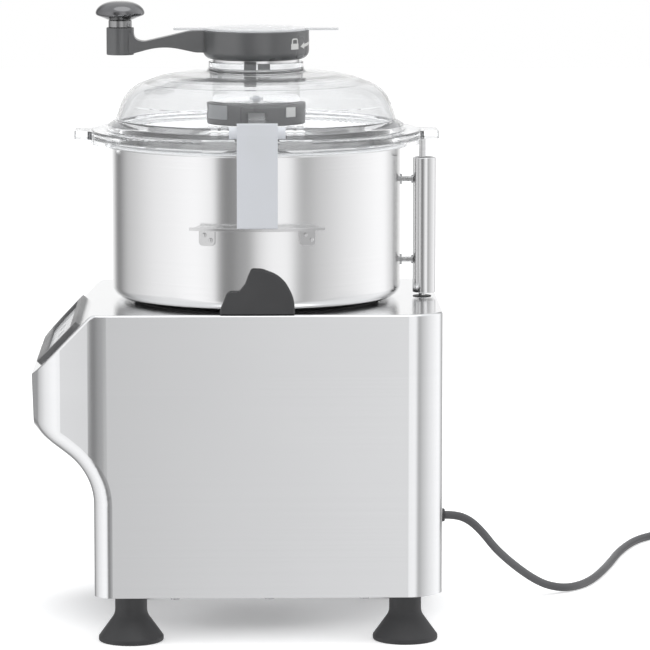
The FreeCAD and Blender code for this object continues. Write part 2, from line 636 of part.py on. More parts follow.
def panel_outline(inset):
    """Outline of the control panel on the slope, with wide lower corners."""
    top = f"-(panel_top + {inset})"
    low = f"-(panel_bottom - {inset})"
    half = f"panel_half - {inset}"
    return polygon(
        (low, f"-({half})", f"panel_low_round - {inset}"), (top, f"-({half})",
            f"panel_top_round - {inset} / 2"),
        (top, half, f"panel_top_round - {inset} / 2"), (low, half, f"panel_low_round - {inset}"))


def make_control_panel():
    """The dark bezel on the slope, the flush keypad inside it and the board behind the sheet."""
    bezel = slope_piece("control_bezel")
    bezel.pad("XY_Plane", "0", "bezel_wall", panel_outline("0"), panel_outline("bezel_border"))
    keypad = slope_piece("keypad_panel")
    keypad.pad("XY_Plane", "0", "keypad_wall", panel_outline("bezel_border"))
    board = slope_piece("control_board")
    low = "-(case_wall + board_gap + board_wall)"
    edge = rectangle("-board_bottom", "-board_half", "-board_top", "board_half")
    board.pad("XY_Plane", low, f"{low} + board_wall", edge)
    chips = [rectangle(f"-board_bottom + 6 + {10 * row}", f"{35 * column} - 8",
                       f"-board_bottom + 12 + {10 * row}", f"{35 * column} + 8")
             for row in (0, 1) for column in (-1, 0, 1)]
    board.pad("XY_Plane", f"{low} + board_wall", f"{low} + board_wall + 3", *chips)
    spacers = slope_piece("board_spacers")
    places = [(x, y) for x in ("-board_bottom + spacer_inset", "-board_top - spacer_inset")
              for y in ("-(board_half - spacer_inset)", "board_half - spacer_inset")]
    spacers.pad("XY_Plane", f"{low} + board_wall", "-case_wall",
        *[circle(x, y, "spacer_radius") for x, y in places])


def make_lock_block():
    """The moulded bowl stop at the near edge of the case's top, hollowed to follow the bowl's wall."""
    block = Piece("bowl_lock_block")
    half = "block_half"
    low = "case_top"
    inner = "sqrt((bowl_radius + block_gap) ^ 2 - block_half ^ 2) - 1"
    block.pad("XZ_Plane", "-block_front", f"-({inner})", polygon(
        (f"-{half}", low), (half, low), (half, "block_top", "28"), (f"-{half} * 0.2", "block_top", "3"),
        (f"-{half} * 0.3", "block_shoulder + 5", "4"), (f"-{half} * 0.48", "block_shoulder", "3"),
        (f"-{half}", "block_shoulder", "7")))
    block.pocket("XY_Plane", "case_top - 1", "block_top + 5", circle("0", "0", "bowl_radius + block_gap"))


def make_run_capacitor():
    """The motor's capacitor, upright on the base plate."""
    capacitor = Piece("run_capacitor", x="axis_x + capacitor_x", y="capacitor_y")
    low = "case_bottom + plate_wall"
    capacitor.revolve(polygon(
        ("0", low), ("capacitor_radius", low, "1.5"), ("capacitor_radius", f"{low} + capacitor_height",
            "3"),
        ("4", f"{low} + capacitor_height"), ("4", f"{low} + capacitor_height + 6"),
        ("0", f"{low} + capacitor_height + 6")))


def make_interlock():
    """The lid switch: a guide in the case's top, a push pin in it, and the switch on its bracket."""
    place = {"x": "axis_x + handle_x - rod_offset"}
    guide = Piece("plunger_guide", **place)
    bore = "plunger_radius + running_gap"
    guide.revolve(polygon(
        (bore, "guide_low"), ("guide_radius", "guide_low"), ("guide_radius", "case_top"),
        ("guide_head", "case_top"), ("guide_head", "case_top + guide_head_height", "0.3"),
        (bore, "case_top + guide_head_height")))
    pin = Piece("interlock_plunger", **place)
    pin.revolve(polygon(
        ("0", "plunger_low"), ("plunger_radius + 1.5", "plunger_low"), ("plunger_radius + 1.5",
            "plunger_low + 2"),
        ("plunger_radius", "plunger_low + 2"), ("plunger_radius", "handle_low - plunger_gap", "1"),
        ("0", "handle_low - plunger_gap")))
    switch = Piece("interlock_switch", **place)
    low = "switch_top - switch_height"
    half_x = "switch_half_x"
    half_y = "switch_half_y"
    switch.pad("XY_Plane", low, "switch_top", rectangle(f"-{half_x}", f"-{half_y}", half_x, half_y, "1"))
    switch.pad("XY_Plane", "switch_top", "plunger_low - plunger_travel - plunger_gap",
        rectangle("-2", "-3", "2", "3"))
    bracket = Piece("switch_bracket", **place)
    outer = "-(switch_half_x + bracket_plate)"
    bracket.pad("XZ_Plane", "-bracket_half", "bracket_half", polygon(
        (outer, low), (f"-{half_x}", low), (f"-{half_x}", "case_top - case_wall - bracket_plate"),
        ("-(guide_radius + 0.2)", "case_top - case_wall - bracket_plate"),
        ("-(guide_radius + 0.2)", "case_top - case_wall"),
        (f"{outer} - 12", "case_top - case_wall"), (f"{outer} - 12",
            "case_top - case_wall - bracket_plate"),
        (outer, "case_top - case_wall - bracket_plate")))


def make_cable_gland():
    """The cord's gland in the back wall, with a flange outside and a thread inside."""
    gland = Piece("cable_gland", z="gland_level", turn_axis=(0, 1, 0), turn="90")
    bore = "cord_radius"
    gland.revolve(polygon(
        (bore, "case_rear - gland_inside"), ("gland_radius", "case_rear - gland_inside"),
        ("gland_radius", "case_rear"), ("gland_flange", "case_rear"),
        ("gland_flange", "case_rear + gland_flange_wall", "1"),
        ("gland_radius", "case_rear + gland_flange_wall"), ("gland_radius * 0.85", "gland_reach", "1.2"),
        (bore, "gland_reach")))


def rounded_path(points):
    """Straight runs joined by tangent arcs, each as large as its two runs allow."""
    spots = [Vector(value("axis_x") + x, y, z) for x, y, z in points]
    edges = []
    radii = []
    start = spots[0]
    for before, corner, after in zip(spots, spots[1:], spots[2:]):
        run_in = corner - before
        run_out = after - corner
        reach = 0.45 * min(run_in.Length, run_out.Length)
        turn = run_in.getAngle(run_out)
        radius = reach / math.tan(turn / 2)
        radii.append(radius)
        enter = corner - run_in.normalize() * reach
        leave = corner + run_out.normalize() * reach
        inward = ((enter + leave) / 2 - corner).normalize()
        middle = corner + inward * (radius / math.cos(turn / 2) - radius)
        edges.append(Part.LineSegment(start, enter).toShape())
        edges.append(Part.Arc(enter, middle, leave).toShape())
        start = leave
    edges.append(Part.LineSegment(start, spots[-1]).toShape())
    return Part.Wire(edges), radii


def make_tube(label, points):
    """A stretch of cord: a round section carried along its path."""
    path, radii = rounded_path(points)
    radius = value("cord_radius")
    first = path.Edges[0]
    direction = first.Vertexes[1].Point - first.Vertexes[0].Point
    section = Part.Wire(Part.Circle(first.Vertexes[0].Point, direction, radius).toShape())
    solid = path.makePipeShell([section], True, False)
    tube = DOC.addObject("Part::Feature", label)
    tube.Label = label
    tube.Shape = solid
    tube.Placement = FreeCAD.Placement()
    expected = math.pi * radius ** 2 * path.Length
    print(f"{label}: length {path.Length:.0f}, volume ratio {solid.Volume / expected:.4f}, "
          f"radii {[round(r) for r in radii]}")
    PIECES.append(tube)


def make_cord():
    """The mains cord: its free run, the coil of the rest, the tail and the plug."""
    make_tube("power_cord", CORD_ROUTE)
    coil = Piece("cord_coil", x="axis_x + coil_x", y="coil_y")
    round_off = "cord_radius * 0.9"
    coil.revolve(polygon(
        ("coil_inner", "0", round_off), ("coil_outer", "0", round_off),
        ("coil_outer", "coil_height", round_off), ("coil_inner", "coil_height", round_off)))
    make_tube("cord_tail", TAIL_ROUTE)
    end = Vector(*TAIL_ROUTE[-1])
    heading = (end - Vector(*TAIL_ROUTE[-2])).normalize()
    flat = Vector(heading.x, heading.y, 0).normalize()
    turn = Rotation(Vector(0, 0, 1), flat)
    place = FreeCAD.Placement(Vector(value("axis_x") + end.x, end.y, end.z), turn)
    body = Piece("plug_body")
    grip = "sleeve_length + plug_length"
    body.revolve(polygon(
        ("0", "0"), ("cord_radius + 0.6", "0", "0.5"), ("cord_radius + 3", "sleeve_length", "4"),
        ("plug_radius * 0.72", "sleeve_length + 4", "4"), ("plug_radius * 0.8", f"{grip} - 14", "8"),
        ("plug_radius", f"{grip} - 8", "3"), ("plug_radius", grip, "1"), ("0", grip)))
    pins = Piece("plug_pins")
    pins.pad("XY_Plane", grip, f"{grip} + plug_pin_length",
             circle("0", "-plug_pin_spacing", "plug_pin_radius"), circle("0", "plug_pin_spacing",
                 "plug_pin_radius"))
    for piece in (body, pins):
        for name in ("Base.x", "Base.y", "Base.z", "Rotation.Angle"):
            piece.body.setExpression(f"Placement.{name}", None)
        piece.body.Placement = place


def hexagon(across):
    """A hexagonal loop about the axis."""
    return polygon(*[(f"({across}) / 2 / cos(30) * cos({60 * corner})",
                      f"({across}) / 2 / cos(30) * sin({60 * corner})") for corner in range(6)])


def make_drive():
    """The shaft with its hexagon for the knife, and the fan under the motor."""
    shaft = Piece("drive_shaft")
    shaft.revolve(polygon(("0", "shaft_bottom"), ("shaft_radius", "shaft_bottom", "1"),
                          ("shaft_radius", "hex_bottom", "1"), ("0", "hex_bottom")))
    shaft.pad("XY_Plane", "hex_bottom", "shaft_top", hexagon("hex_across"))
    fan = Piece("cooling_fan")
    low = "shaft_bottom + 1"
    bore = "shaft_radius + 0.02"
    fan.revolve(polygon((bore, low), ("fan_radius", low), ("fan_radius", f"{low} + 1.5"),
                        ("16", f"{low} + 1.5"), ("16", f"{low} + fan_height"), (bore,
                            f"{low} + fan_height")))
    blade = fan.pad("XY_Plane", f"{low} + 1.5", f"{low} + fan_height",
                    rectangle("15", "-fan_blade_wall / 2", "fan_radius - 1", "fan_blade_wall / 2"))
    fan.repeat([blade], "fan_blades")


def make_bowl_shell():
    """The drawn bowl: rolled rim, rounded foot and the central chimney for the shaft."""
    bowl = Piece("bowl_shell")
    outer = "bowl_radius"
    inner = "bowl_radius - bowl_wall"
    bowl.revolve(polygon(
        ("chimney_bore", "bowl_low"), (outer, "bowl_low", "bowl_round"), (outer, "bowl_top - bead_height"),
        (f"{outer} + bead_width", "bowl_top - bead_height", "1.2"), (f"{outer} + bead_width", "bowl_top",
            "1.2"),
        (inner, "bowl_top", "0.7"), (inner, "bowl_low + bowl_floor", "bowl_round - bowl_wall"),
        ("chimney_radius", "bowl_low + bowl_floor"), ("chimney_radius", "chimney_top", "1"),
        ("chimney_bore", "chimney_top")))


def make_handle():
    """The upright tube behind the bowl, its end bushes and the two bolts that hold it off the wall."""
    tube = Piece("handle_tube", x="axis_x + handle_x")
    inner = "handle_radius - handle_wall"
    tube.revolve(polygon((inner, "handle_low"), ("handle_radius", "handle_low", "0.7"),
                         ("handle_radius", "handle_high", "0.7"), (inner, "handle_high")))
    bushes = Piece("handle_bushes", x="axis_x + handle_x")
    rod = circle("-rod_offset", "0", "rod_radius + running_gap")
    body = circle("0", "0", f"{inner} - 0.05")
    bushes.pad("XY_Plane", "handle_low", "handle_low + bush_length", body, rod)
    bushes.pad("XY_Plane", "handle_high - bush_length", "handle_high", body, rod)
    bolts = Piece("handle_bolts")
    wall = "bowl_radius - 0.1"
    tube_wall = "handle_x - handle_radius"
    for level in ("standoff_low", "standoff_high"):
        bolts.pad("YZ_Plane", wall, f"{tube_wall} + 0.25", circle("0", level, "standoff_radius"))
        bolts.pad("YZ_Plane", wall, f"{wall} + 1.6", circle("0", level, "standoff_flange"))
        bolts.pad("YZ_Plane", f"{tube_wall} - 1.2", f"{tube_wall} + 0.25",
                  circle("0", level, "standoff_flange - 1"))
    bolts.pocket("XY_Plane", "0", "2 * bowl_top", circle("0", "0", "bowl_radius + 0.02"))
    bolts.pocket("XY_Plane", "0", "2 * bowl_top", circle("handle_x", "0", "handle_radius + 0.02"))


def make_interlock_rod():
    """The push rod in the handle: the closed lid holds its head down and it presses the switch pin."""
    rod = Piece("interlock_rod", x="axis_x + handle_x - rod_offset")
    top = "flange_low - rod_gap"
    collar = "handle_low + bush_length + 30"
    rod.revolve(polygon(
        ("0", "handle_low"), ("rod_radius", "handle_low", "0.8"), ("rod_radius", collar),
        ("rod_radius + 2", collar), ("rod_radius + 2", f"{collar} + 3"), ("rod_radius", f"{collar} + 3"),
        ("rod_radius", top, "1"), ("0", top)))


def make_catches():
    """The curved shelves that the latches close on, each with two riveted brackets, near and far."""
    inner = "bowl_radius + 0.02"
    foot = "shelf_level - bracket_drop"
    for side, turn in (("near", "-90"), ("far", "90")):
        shelf = Piece(f"catch_shelf_{side}", turn=turn)
        shelf.revolve(polygon((inner, "shelf_level"), ("shelf_outer", "shelf_level", "0.8"),
                              ("shelf_outer", "shelf_level + shelf_wall", "0.8"),
                              (inner, "shelf_level + shelf_wall")), angle="shelf_angle")
        shelf.revolve(polygon((inner, foot), (f"{inner} + bracket_wall", foot),
                              (f"{inner} + bracket_wall", "shelf_level"), (inner, "shelf_level")),
                      angle="2 * bracket_spread + bracket_angle")
        gap = "bracket_spread - bracket_angle / 2"
        reach = "1.1 * shelf_outer"
        shelf.pocket("XY_Plane", f"{foot} - 1", "shelf_level", polygon(
            ("0", "0"), (f"{reach} * cos({gap})", f"-{reach} * sin({gap})"),
            (f"{reach} * cos({gap})", f"{reach} * sin({gap})")))
    rivets = Piece("catch_rivets")
    face = f"{inner} + bracket_wall"
    for side in ("1", "-1"):
        for sign in ("1", "-1"):
            for offset, drop in (("-1.2", "0.35"), ("1.2", "0.7")):
                angle = f"{side} * 90 + {sign} * bracket_spread + {offset}"
                x = f"({face}) * cos({angle})"
                y = f"({face}) * sin({angle})"
                level = f"shelf_level - {drop} * bracket_drop"
                rivets.pad("XY_Plane", f"{level} - rivet_radius", f"{level} + rivet_radius",
                           circle(x, y, "rivet_head"))
    rivets.pocket("XY_Plane", "0", "bowl_top", circle("0", "0", face))


def make_knife():
    """The knife: guide bush, hub, two sickle blades set a quarter turn apart, and the hub's cap."""
    bush = Piece("knife_bush")
    bush.revolve(polygon(
        ("chimney_radius + 0.3", "bush_bottom"), ("bush_radius", "bush_bottom"),
        ("bush_radius", "bush_bottom + bush_height", "0.8"),
        ("chimney_radius + 0.3", "bush_bottom + bush_height", "0.5")))
    hub = Piece("knife_hub")
    bore = "bush_radius + hub_wall_gap"
    deck = "bush_bottom + bush_height + 0.3"
    hub.revolve(polygon(
        (bore, "hub_bottom"), ("hub_radius", "hub_bottom", "1"), ("hub_radius",
            "blade_high + blade_wall + 10", "6"),
        ("hub_neck + 2", "blade_high + blade_wall + 22", "8"), ("hub_neck + 2", "hub_top"),
        ("0", "hub_top"), ("0", "chimney_top + 2.5"), ("chimney_radius + 1", "chimney_top + 2.5"),
        ("chimney_radius + 1", deck), (bore, deck)))
    hub.pocket("XY_Plane", "chimney_top", "shaft_top + 0.4", hexagon("hex_across + 0.15"))
    for name, level, turn in (("knife_blade_lower", "blade_low", "0"),
                              ("knife_blade_upper", "blade_high", "blade_turn")):
        blade = Piece(name, turn=turn)
        blade.pad("XY_Plane", level, f"{level} + blade_wall", circle("0", "0", "hub_radius + 8"))
        tip = "blade_tip"
        sickle = blade.pad("XY_Plane", level, f"{level} + blade_wall", polygon(
            (f"{tip} * 0.14", f"-{tip} * 0.22"), (f"{tip} * 0.83", f"-{tip} * 0.25", f"{tip} * 0.5"),
            (f"{tip} * 0.86", f"{tip} * 0.5", "2"), (f"{tip} * 0.62", f"{tip} * 0.05", f"{tip} * 0.3"),
            (f"{tip} * 0.14", f"{tip} * 0.2")))
        blade.repeat([sickle], "2")
        blade.pocket("XY_Plane", f"{level} - 1", f"{level} + blade_wall + 1",
            circle("0", "0", "hub_radius + 0.02"))
    cap = Piece("hub_cap")
    cap.revolve(polygon(
        ("0", "hub_top"), ("hub_cap_radius", "hub_top", "1.5"),
        ("hub_cap_radius", "hub_top + hub_cap_height", "3"), ("0", "hub_top + hub_cap_height")))


def make_lid_dome():
    """The clear lid: flange with its lip and locating rib, domed skin, neck, lugs and side tabs."""
    lid = Piece("lid_dome")
    wall = "lid_wall"
    lid.revolve(polygon(
        ("lid_bore", "flange_low"), ("rib_inner", "flange_low"), ("rib_inner", "rib_low"),
        ("rib_outer", "rib_low"), ("rib_outer", "flange_low"), ("lid_flange - lip_wall", "flange_low"),
        ("lid_flange - lip_wall", "lip_low"), ("lid_flange", "lip_low"), ("lid_flange", "flange_high", "2"),
        ("ring_radius + 1", "flange_high", "1"), ("ring_radius", "ring_top", "2"),
        ("dome_base", "dome_level", "3"), ("dome_shoulder_radius", "dome_shoulder", "30"),
        ("dome_crown_radius", "dome_crown - 1", "60"), ("neck_radius", "dome_crown + 1.5", "4"),
        ("neck_radius", "neck_top", "1"), (f"neck_radius - {wall}", "neck_top"),
        (f"neck_radius - {wall}", f"dome_crown + 1.5 - {wall}"),
        ("dome_crown_radius - 1", f"dome_crown - 1 - {wall}", "57"),
        (f"dome_shoulder_radius - {wall}", "dome_shoulder - 1.5", "27"), ("lid_bore", "dome_level", "3")))
    for x_low, x_high in (("-tab_front", "-(lid_flange - lip_wall)"),
        ("lid_flange - lip_wall", "tab_rear")):
        lid.pad("XY_Plane", "flange_low", "flange_high - 0.5", polygon(
            (x_low, "-tab_half", "4") if x_low.startswith("-") else (x_low, "-tab_half - 6"),
            (x_high, "-tab_half - 6") if x_low.startswith("-") else (x_high, "-tab_half", "4"),
            (x_high, "tab_half + 6") if x_low.startswith("-") else (x_high, "tab_half", "4"),
            (x_low, "tab_half", "4") if x_low.startswith("-") else (x_low, "tab_half + 6")))
    lid.pad("XY_Plane", "hook_low", "flange_low",
        rectangle("-(hook_reach + 3)", "-6", "-(hook_reach - 2)", "6"))
    pads = [rectangle(f"{x} * pad_inner" if x == "1" else "-pad_outer", low,
                      "pad_outer" if x == "1" else "-pad_inner", high)
            for x in ("1", "-1") for low, high in (("-pad_out", "-pad_in"), ("pad_in", "pad_out"))]
    lid.pad("XY_Plane", "flange_low", "pad_top", *pads)
    lugs = [polygon(
        (f"{side} - lug_radius", "pad_top"), (f"{side} + lug_radius", "pad_top"),
        (f"{side} + lug_radius", "pin_level + lug_radius", "lug_radius - 0.1"),
        (f"{side} - lug_radius", "pin_level + lug_radius",
            "lug_radius - 0.1")) for side in ("-pin_out", "pin_out")]
    for low, high in (("lug_inner_low", "lug_inner_high"), ("lug_outer_low", "lug_outer_high")):
        lid.pad("YZ_Plane", low, high, *lugs)
        lid.pad("YZ_Plane", f"-{high}", f"-{low}", *lugs)
    lid.pocket("XY_Plane", "lip_low - 1", "flange_low",
               circle("handle_x - rod_offset", "0", "rod_radius + rod_gap"))
    bore = "pin_radius + running_gap"
    lid.pocket("YZ_Plane", "-pad_outer", "pad_outer", circle("-pin_out", "pin_level", bore),
               circle("pin_out", "pin_level", bore))


def make_lid_fittings():
    """The seal under the lid and the pins of its latches."""
    seal = Piece("lid_seal")
    seal.revolve(polygon(
        ("seal_inner", "bowl_top + seal_gap"), ("seal_outer", "bowl_top + seal_gap", "0.6"),
        ("seal_outer", "flange_low"), ("seal_inner", "flange_low")))
    pins = Piece("latch_pins")
    pins.pad("YZ_Plane", "-(lug_outer_high + 1)", "lug_outer_high + 1",
             circle("-pin_out", "pin_level", "pin_radius"), circle("pin_out", "pin_level", "pin_radius"))


def make_latches():
    """The two hinged latch plates: a barrel on the pin, a leaning blade and a toe at the shelf."""
    for side, turn in (("near", "-90"), ("far", "90")):
        latch = Piece(f"latch_{side}", turn=turn)
        outer = "pin_out + barrel_radius"
        toe = "shelf_outer + latch_toe_gap"
        latch.pad("XZ_Plane", "-latch_half", "latch_half", polygon(
            (f"{outer} - latch_wall", "pin_level - 2"), (f"{outer} - latch_wall - latch_lean",
                "latch_bottom + latch_toe_height"),
            (toe, "latch_bottom + latch_toe_height"), (toe, "latch_bottom", "1"),
            (f"{outer} - latch_lean", "latch_bottom", "1"), (outer, "pin_level - 2"), (outer, "latch_top",
                "1"),
            (f"{outer} - latch_wall", "latch_top", "1")))
        latch.pad("XZ_Plane", "-barrel_half", "barrel_half",
            circle("pin_out", "pin_level", "barrel_radius"))
        latch.pocket("XZ_Plane", "-barrel_half - 1", "barrel_half + 1",
                     circle("pin_out", "pin_level", "pin_radius + running_gap"))


def make_crank():
    """The crank: dished disc with its feed bore, sleeve through the lid's neck, arm and boss."""
    crank = Piece("crank_arm")
    crank.revolve(polygon(
        ("sleeve_bore", "sleeve_low"), ("sleeve_radius", "sleeve_low"), ("sleeve_radius", "disc_low"),
        ("hub_disc_radius", "disc_low", "disc_round"), ("hub_disc_radius", "disc_high", "1"),
        ("chute_radius", "disc_high"), ("chute_radius", "disc_low"), ("sleeve_bore", "disc_low")))
    arm_in = "-(hub_disc_radius - 6)"
    crank.pad("XZ_Plane", "-arm_half", "arm_half", polygon(
        (arm_in, "disc_low + 6"), (arm_in, "disc_high - 1.2"), ("-56.8", "disc_high - 1.7", "12"),
        ("-(boss_out - boss_radius + 2)", "boss_low + 12", "8"), ("-boss_out", "boss_low + 12"),
        ("-boss_out", "boss_low"), ("-(boss_out - boss_radius)", "boss_low + 0.6", "6"),
        ("-79", "disc_low + 11.6", "24"), ("-52.6", "disc_low + 6", "10")))
    crank.pad("XY_Plane", "boss_low", "boss_high", circle("-boss_out", "0", "boss_radius"))
    crank.pocket("XY_Plane", "boss_high - axle_depth", "boss_high + 1",
        circle("-boss_out", "0", "axle_radius"))
    axle = Piece("knob_axle", x="axis_x - boss_out")
    top = "boss_high + collar_height"
    axle.revolve(polygon(
        ("0", "boss_high - axle_depth"), ("axle_radius - 0.05", "boss_high - axle_depth"),
        ("axle_radius - 0.05", "boss_high"), ("collar_radius", "boss_high", "0.5"), ("collar_radius", top,
            "0.8"),
        ("axle_radius - 0.05", top), ("axle_radius - 0.05", "knob_wide"), ("0", "knob_wide")))
    knob = Piece("crank_knob", x="axis_x - boss_out")
    knob.revolve(polygon(
        ("axle_radius", "knob_low"), ("11", "knob_low", "1"), ("knob_radius * 0.86", "knob_low + 2.2", "5"),
        ("knob_radius + 1.2", "knob_wide", "3.6"), ("knob_radius * 0.72", "knob_top - 1", "10"),
        ("0", "knob_top + 0.2"), ("0", "knob_wide + 0.3"), ("axle_radius", "knob_wide + 0.3")))


def make_scraper():
    """The scraper under the lid: carrier ring with ears, two arms down the bowl's wall, two wipers."""
    carrier = Piece("scraper_carrier")
    carrier.revolve(polygon(
        ("sleeve_bore", "carrier_low"), ("carrier_radius", "carrier_low", "1.5"),
        ("carrier_radius", "sleeve_low", "1"), ("sleeve_bore", "sleeve_low")))
    carrier.pad("XY_Plane", "carrier_low + 2", "carrier_low + 12", rectangle(
        "-ear_half", "carrier_radius - 4", "ear_half", "ear_out"),
        rectangle("-ear_half", "-ear_out", "ear_half", "-(carrier_radius - 4)"))
    for side, turn in (("near", "-90"), ("far", "90")):
        arm = Piece(f"scraper_arm_{side}", turn=turn)
        inner = "arm_out - arm_wall"
        arm.pad("XZ_Plane", "-scraper_half", "scraper_half", polygon(
            ("ear_out", "carrier_low + 2"), (f"{inner} - 18", "carrier_low - 1", "14"),
            (f"{inner} - 1.5", "carrier_low - 22", "14"), (inner, "arm_low", "1"), ("arm_out", "arm_low",
                "2"),
            ("arm_out", "carrier_low - 12", "12"), ("arm_out - 20", "carrier_low + 9", "16"),
            ("ear_out", "carrier_low + 12")))
    wipers = Piece("wipers")
    for low, high in (("arm_out", "wiper_out"), ("-wiper_out", "-arm_out")):
        wipers.pad("XY_Plane", "arm_low + 1", "wiper_top",
            rectangle("-wiper_half", low, "wiper_half", high, "0.8"))


def make_feed_cap():
    """The clear cap on the feed bore, with a low dome, a plug skirt and two finger wings."""
    cap = Piece("feed_cap")
    cap.revolve(polygon(
        ("0", "cap_low"), ("cap_plug - cap_plug_wall", "cap_low"), ("cap_plug - cap_plug_wall",
            "cap_plug_low"),
        ("cap_plug", "cap_plug_low", "0.8"), ("cap_plug", "cap_low"), ("cap_radius", "cap_low"),
        ("cap_radius", "cap_low + cap_wall", "0.8"), ("cap_radius * 0.5", "cap_dome - 0.6", "40"),
        ("0", "cap_dome")))
    cap.pad("XY_Plane", "cap_low", "cap_low + cap_wall", rectangle(
        "-wing_reach", "-wing_half", "-(cap_radius - 3)", "wing_half", "3"),
        rectangle("cap_radius - 3", "-wing_half", "wing_reach", "wing_half", "3"))


def check_document():
    """Stop if any object failed, or if a cut took nothing away."""
    DOC.recompute()
    for item in DOC.Objects:
        if "Invalid" in item.State or "Error" in item.State:
            raise RuntimeError(f"{item.Name}: {item.State}")
        if item.TypeId in ("PartDesign::Pocket", "PartDesign::Groove"):
            if item.Shape.Volume >= item.BaseFeature.Shape.Volume - 1e-6:
                raise RuntimeError(f"{item.Name} cuts nothing")
    for piece in PIECES:
        if piece.Shape.isNull() or not piece.Shape.isValid() or not piece.Shape.Solids:
            raise RuntimeError(f"{piece.Label} has no sound shape")


def main():
    """Build the document, check it and write one file for each sub-part."""
    fill_sheet()
    make_housing_shell()
    make_base_plate()
    make_base_screws()
    make_feet()
    make_foot_studs()
    make_motor_case()
    make_motor_plate()
    make_motor_bolts()
    make_shaft_bearing()
    make_shaft_seal()
    make_bowl_seat()
    make_seat_screws()
    make_control_panel()
    make_lock_block()
    make_run_capacitor()
    make_interlock()
    make_cable_gland()
    make_cord()
    make_drive()
    make_bowl_shell()
    make_handle()
    make_interlock_rod()
    make_catches()
    make_knife()
    make_lid_dome()
    make_lid_fittings()
    make_latches()
    make_crank()
    make_scraper()
    make_feed_cap()
    check_document()
    os.makedirs("parts", exist_ok=True)
    for piece in PIECES:
        piece.Shape.exportStep(f"parts/{piece.Label}.step")
    print(f"{len(PIECES)} sub-parts written")


main()
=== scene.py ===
"""Dressed scene of a bench-top bowl cutter: sheet steel case, clear lid, moulded crank, cord and studio."""

from __future__ import annotations

import logging
import math
from dataclasses import dataclass
from enum import Enum
from functools import cache

import bmesh
import bpy
import numpy as np
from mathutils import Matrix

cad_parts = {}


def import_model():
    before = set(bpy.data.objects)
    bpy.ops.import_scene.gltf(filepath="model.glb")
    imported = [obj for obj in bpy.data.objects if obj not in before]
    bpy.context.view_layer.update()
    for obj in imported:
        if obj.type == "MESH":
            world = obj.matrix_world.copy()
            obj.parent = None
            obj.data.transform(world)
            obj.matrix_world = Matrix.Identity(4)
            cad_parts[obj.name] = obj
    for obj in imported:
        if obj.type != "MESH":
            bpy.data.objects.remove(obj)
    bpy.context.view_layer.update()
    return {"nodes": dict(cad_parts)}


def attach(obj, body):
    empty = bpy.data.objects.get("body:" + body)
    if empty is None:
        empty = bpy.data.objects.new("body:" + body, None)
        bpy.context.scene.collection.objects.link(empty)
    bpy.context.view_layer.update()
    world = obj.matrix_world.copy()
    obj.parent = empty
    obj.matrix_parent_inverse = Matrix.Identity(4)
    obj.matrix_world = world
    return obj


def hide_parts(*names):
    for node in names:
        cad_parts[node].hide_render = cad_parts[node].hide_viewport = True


LOG = logging.getLogger("bowl_cutter")
MM = 0.001
AXIS_X = 13.4
"""Where the bowl's axis stands, in millimetres along X. Every size below is in millimetres."""

STRIP_ROOT = 0.1
"""How deep a printed or thin strip reaches into the surface that it lies on."""

Outline = np.ndarray
Colour = tuple[float, float, float]
Tree = bpy.types.NodeTree
Node = bpy.types.Node
Socket = bpy.types.NodeSocket
Piece = bpy.types.Object
Pair = tuple[float, float]
Spot = tuple[float, float, float]
WHITE: Colour = (1.0, 1.0, 1.0)


def rounded(corners: list[tuple[float, ...]], steps: int = 8) -> Outline:
    """An outline whose corners are tangent arcs.

    At a corner with radius r the arc starts r * tan(turn / 2) before the corner, and its points are
    the centre plus a spoke of length r turned through equal steps.

    Args:
        corners: (x, y) or (x, y, radius) for each corner, in order.
        steps: stretches of each arc.

    Returns:
        The outline's points, one row each.
    """
    points = np.array([corner[:2] for corner in corners], float)
    radii = [corner[2] if len(corner) > 2 else 0.0 for corner in corners]
    way_in = points - np.roll(points, 1, axis=0)
    way_in /= np.linalg.norm(way_in, axis=1)[:, None]
    way_out = np.roll(way_in, -1, axis=0)
    stretches = []
    for point, radius, arrive, leave in zip(points, radii, way_in, way_out):
        if radius <= 0:
            stretches.append(point[None])
            continue
        turn = math.atan2(arrive[0] * leave[1] - arrive[1] * leave[0], float(arrive @ leave))
        side = np.array([-arrive[1], arrive[0]]) * math.copysign(1.0, turn)
        centre = point - arrive * radius * math.tan(abs(turn) / 2) + side * radius
        angles = np.linspace(0.0, turn, steps + 1)
        spokes = -side * radius
        stretches.append(centre + np.stack([
            spokes[0] * np.cos(angles) - spokes[1] * np.sin(angles),
            spokes[0] * np.sin(angles) + spokes[1] * np.cos(angles)], axis=1))
    return np.vstack(stretches)


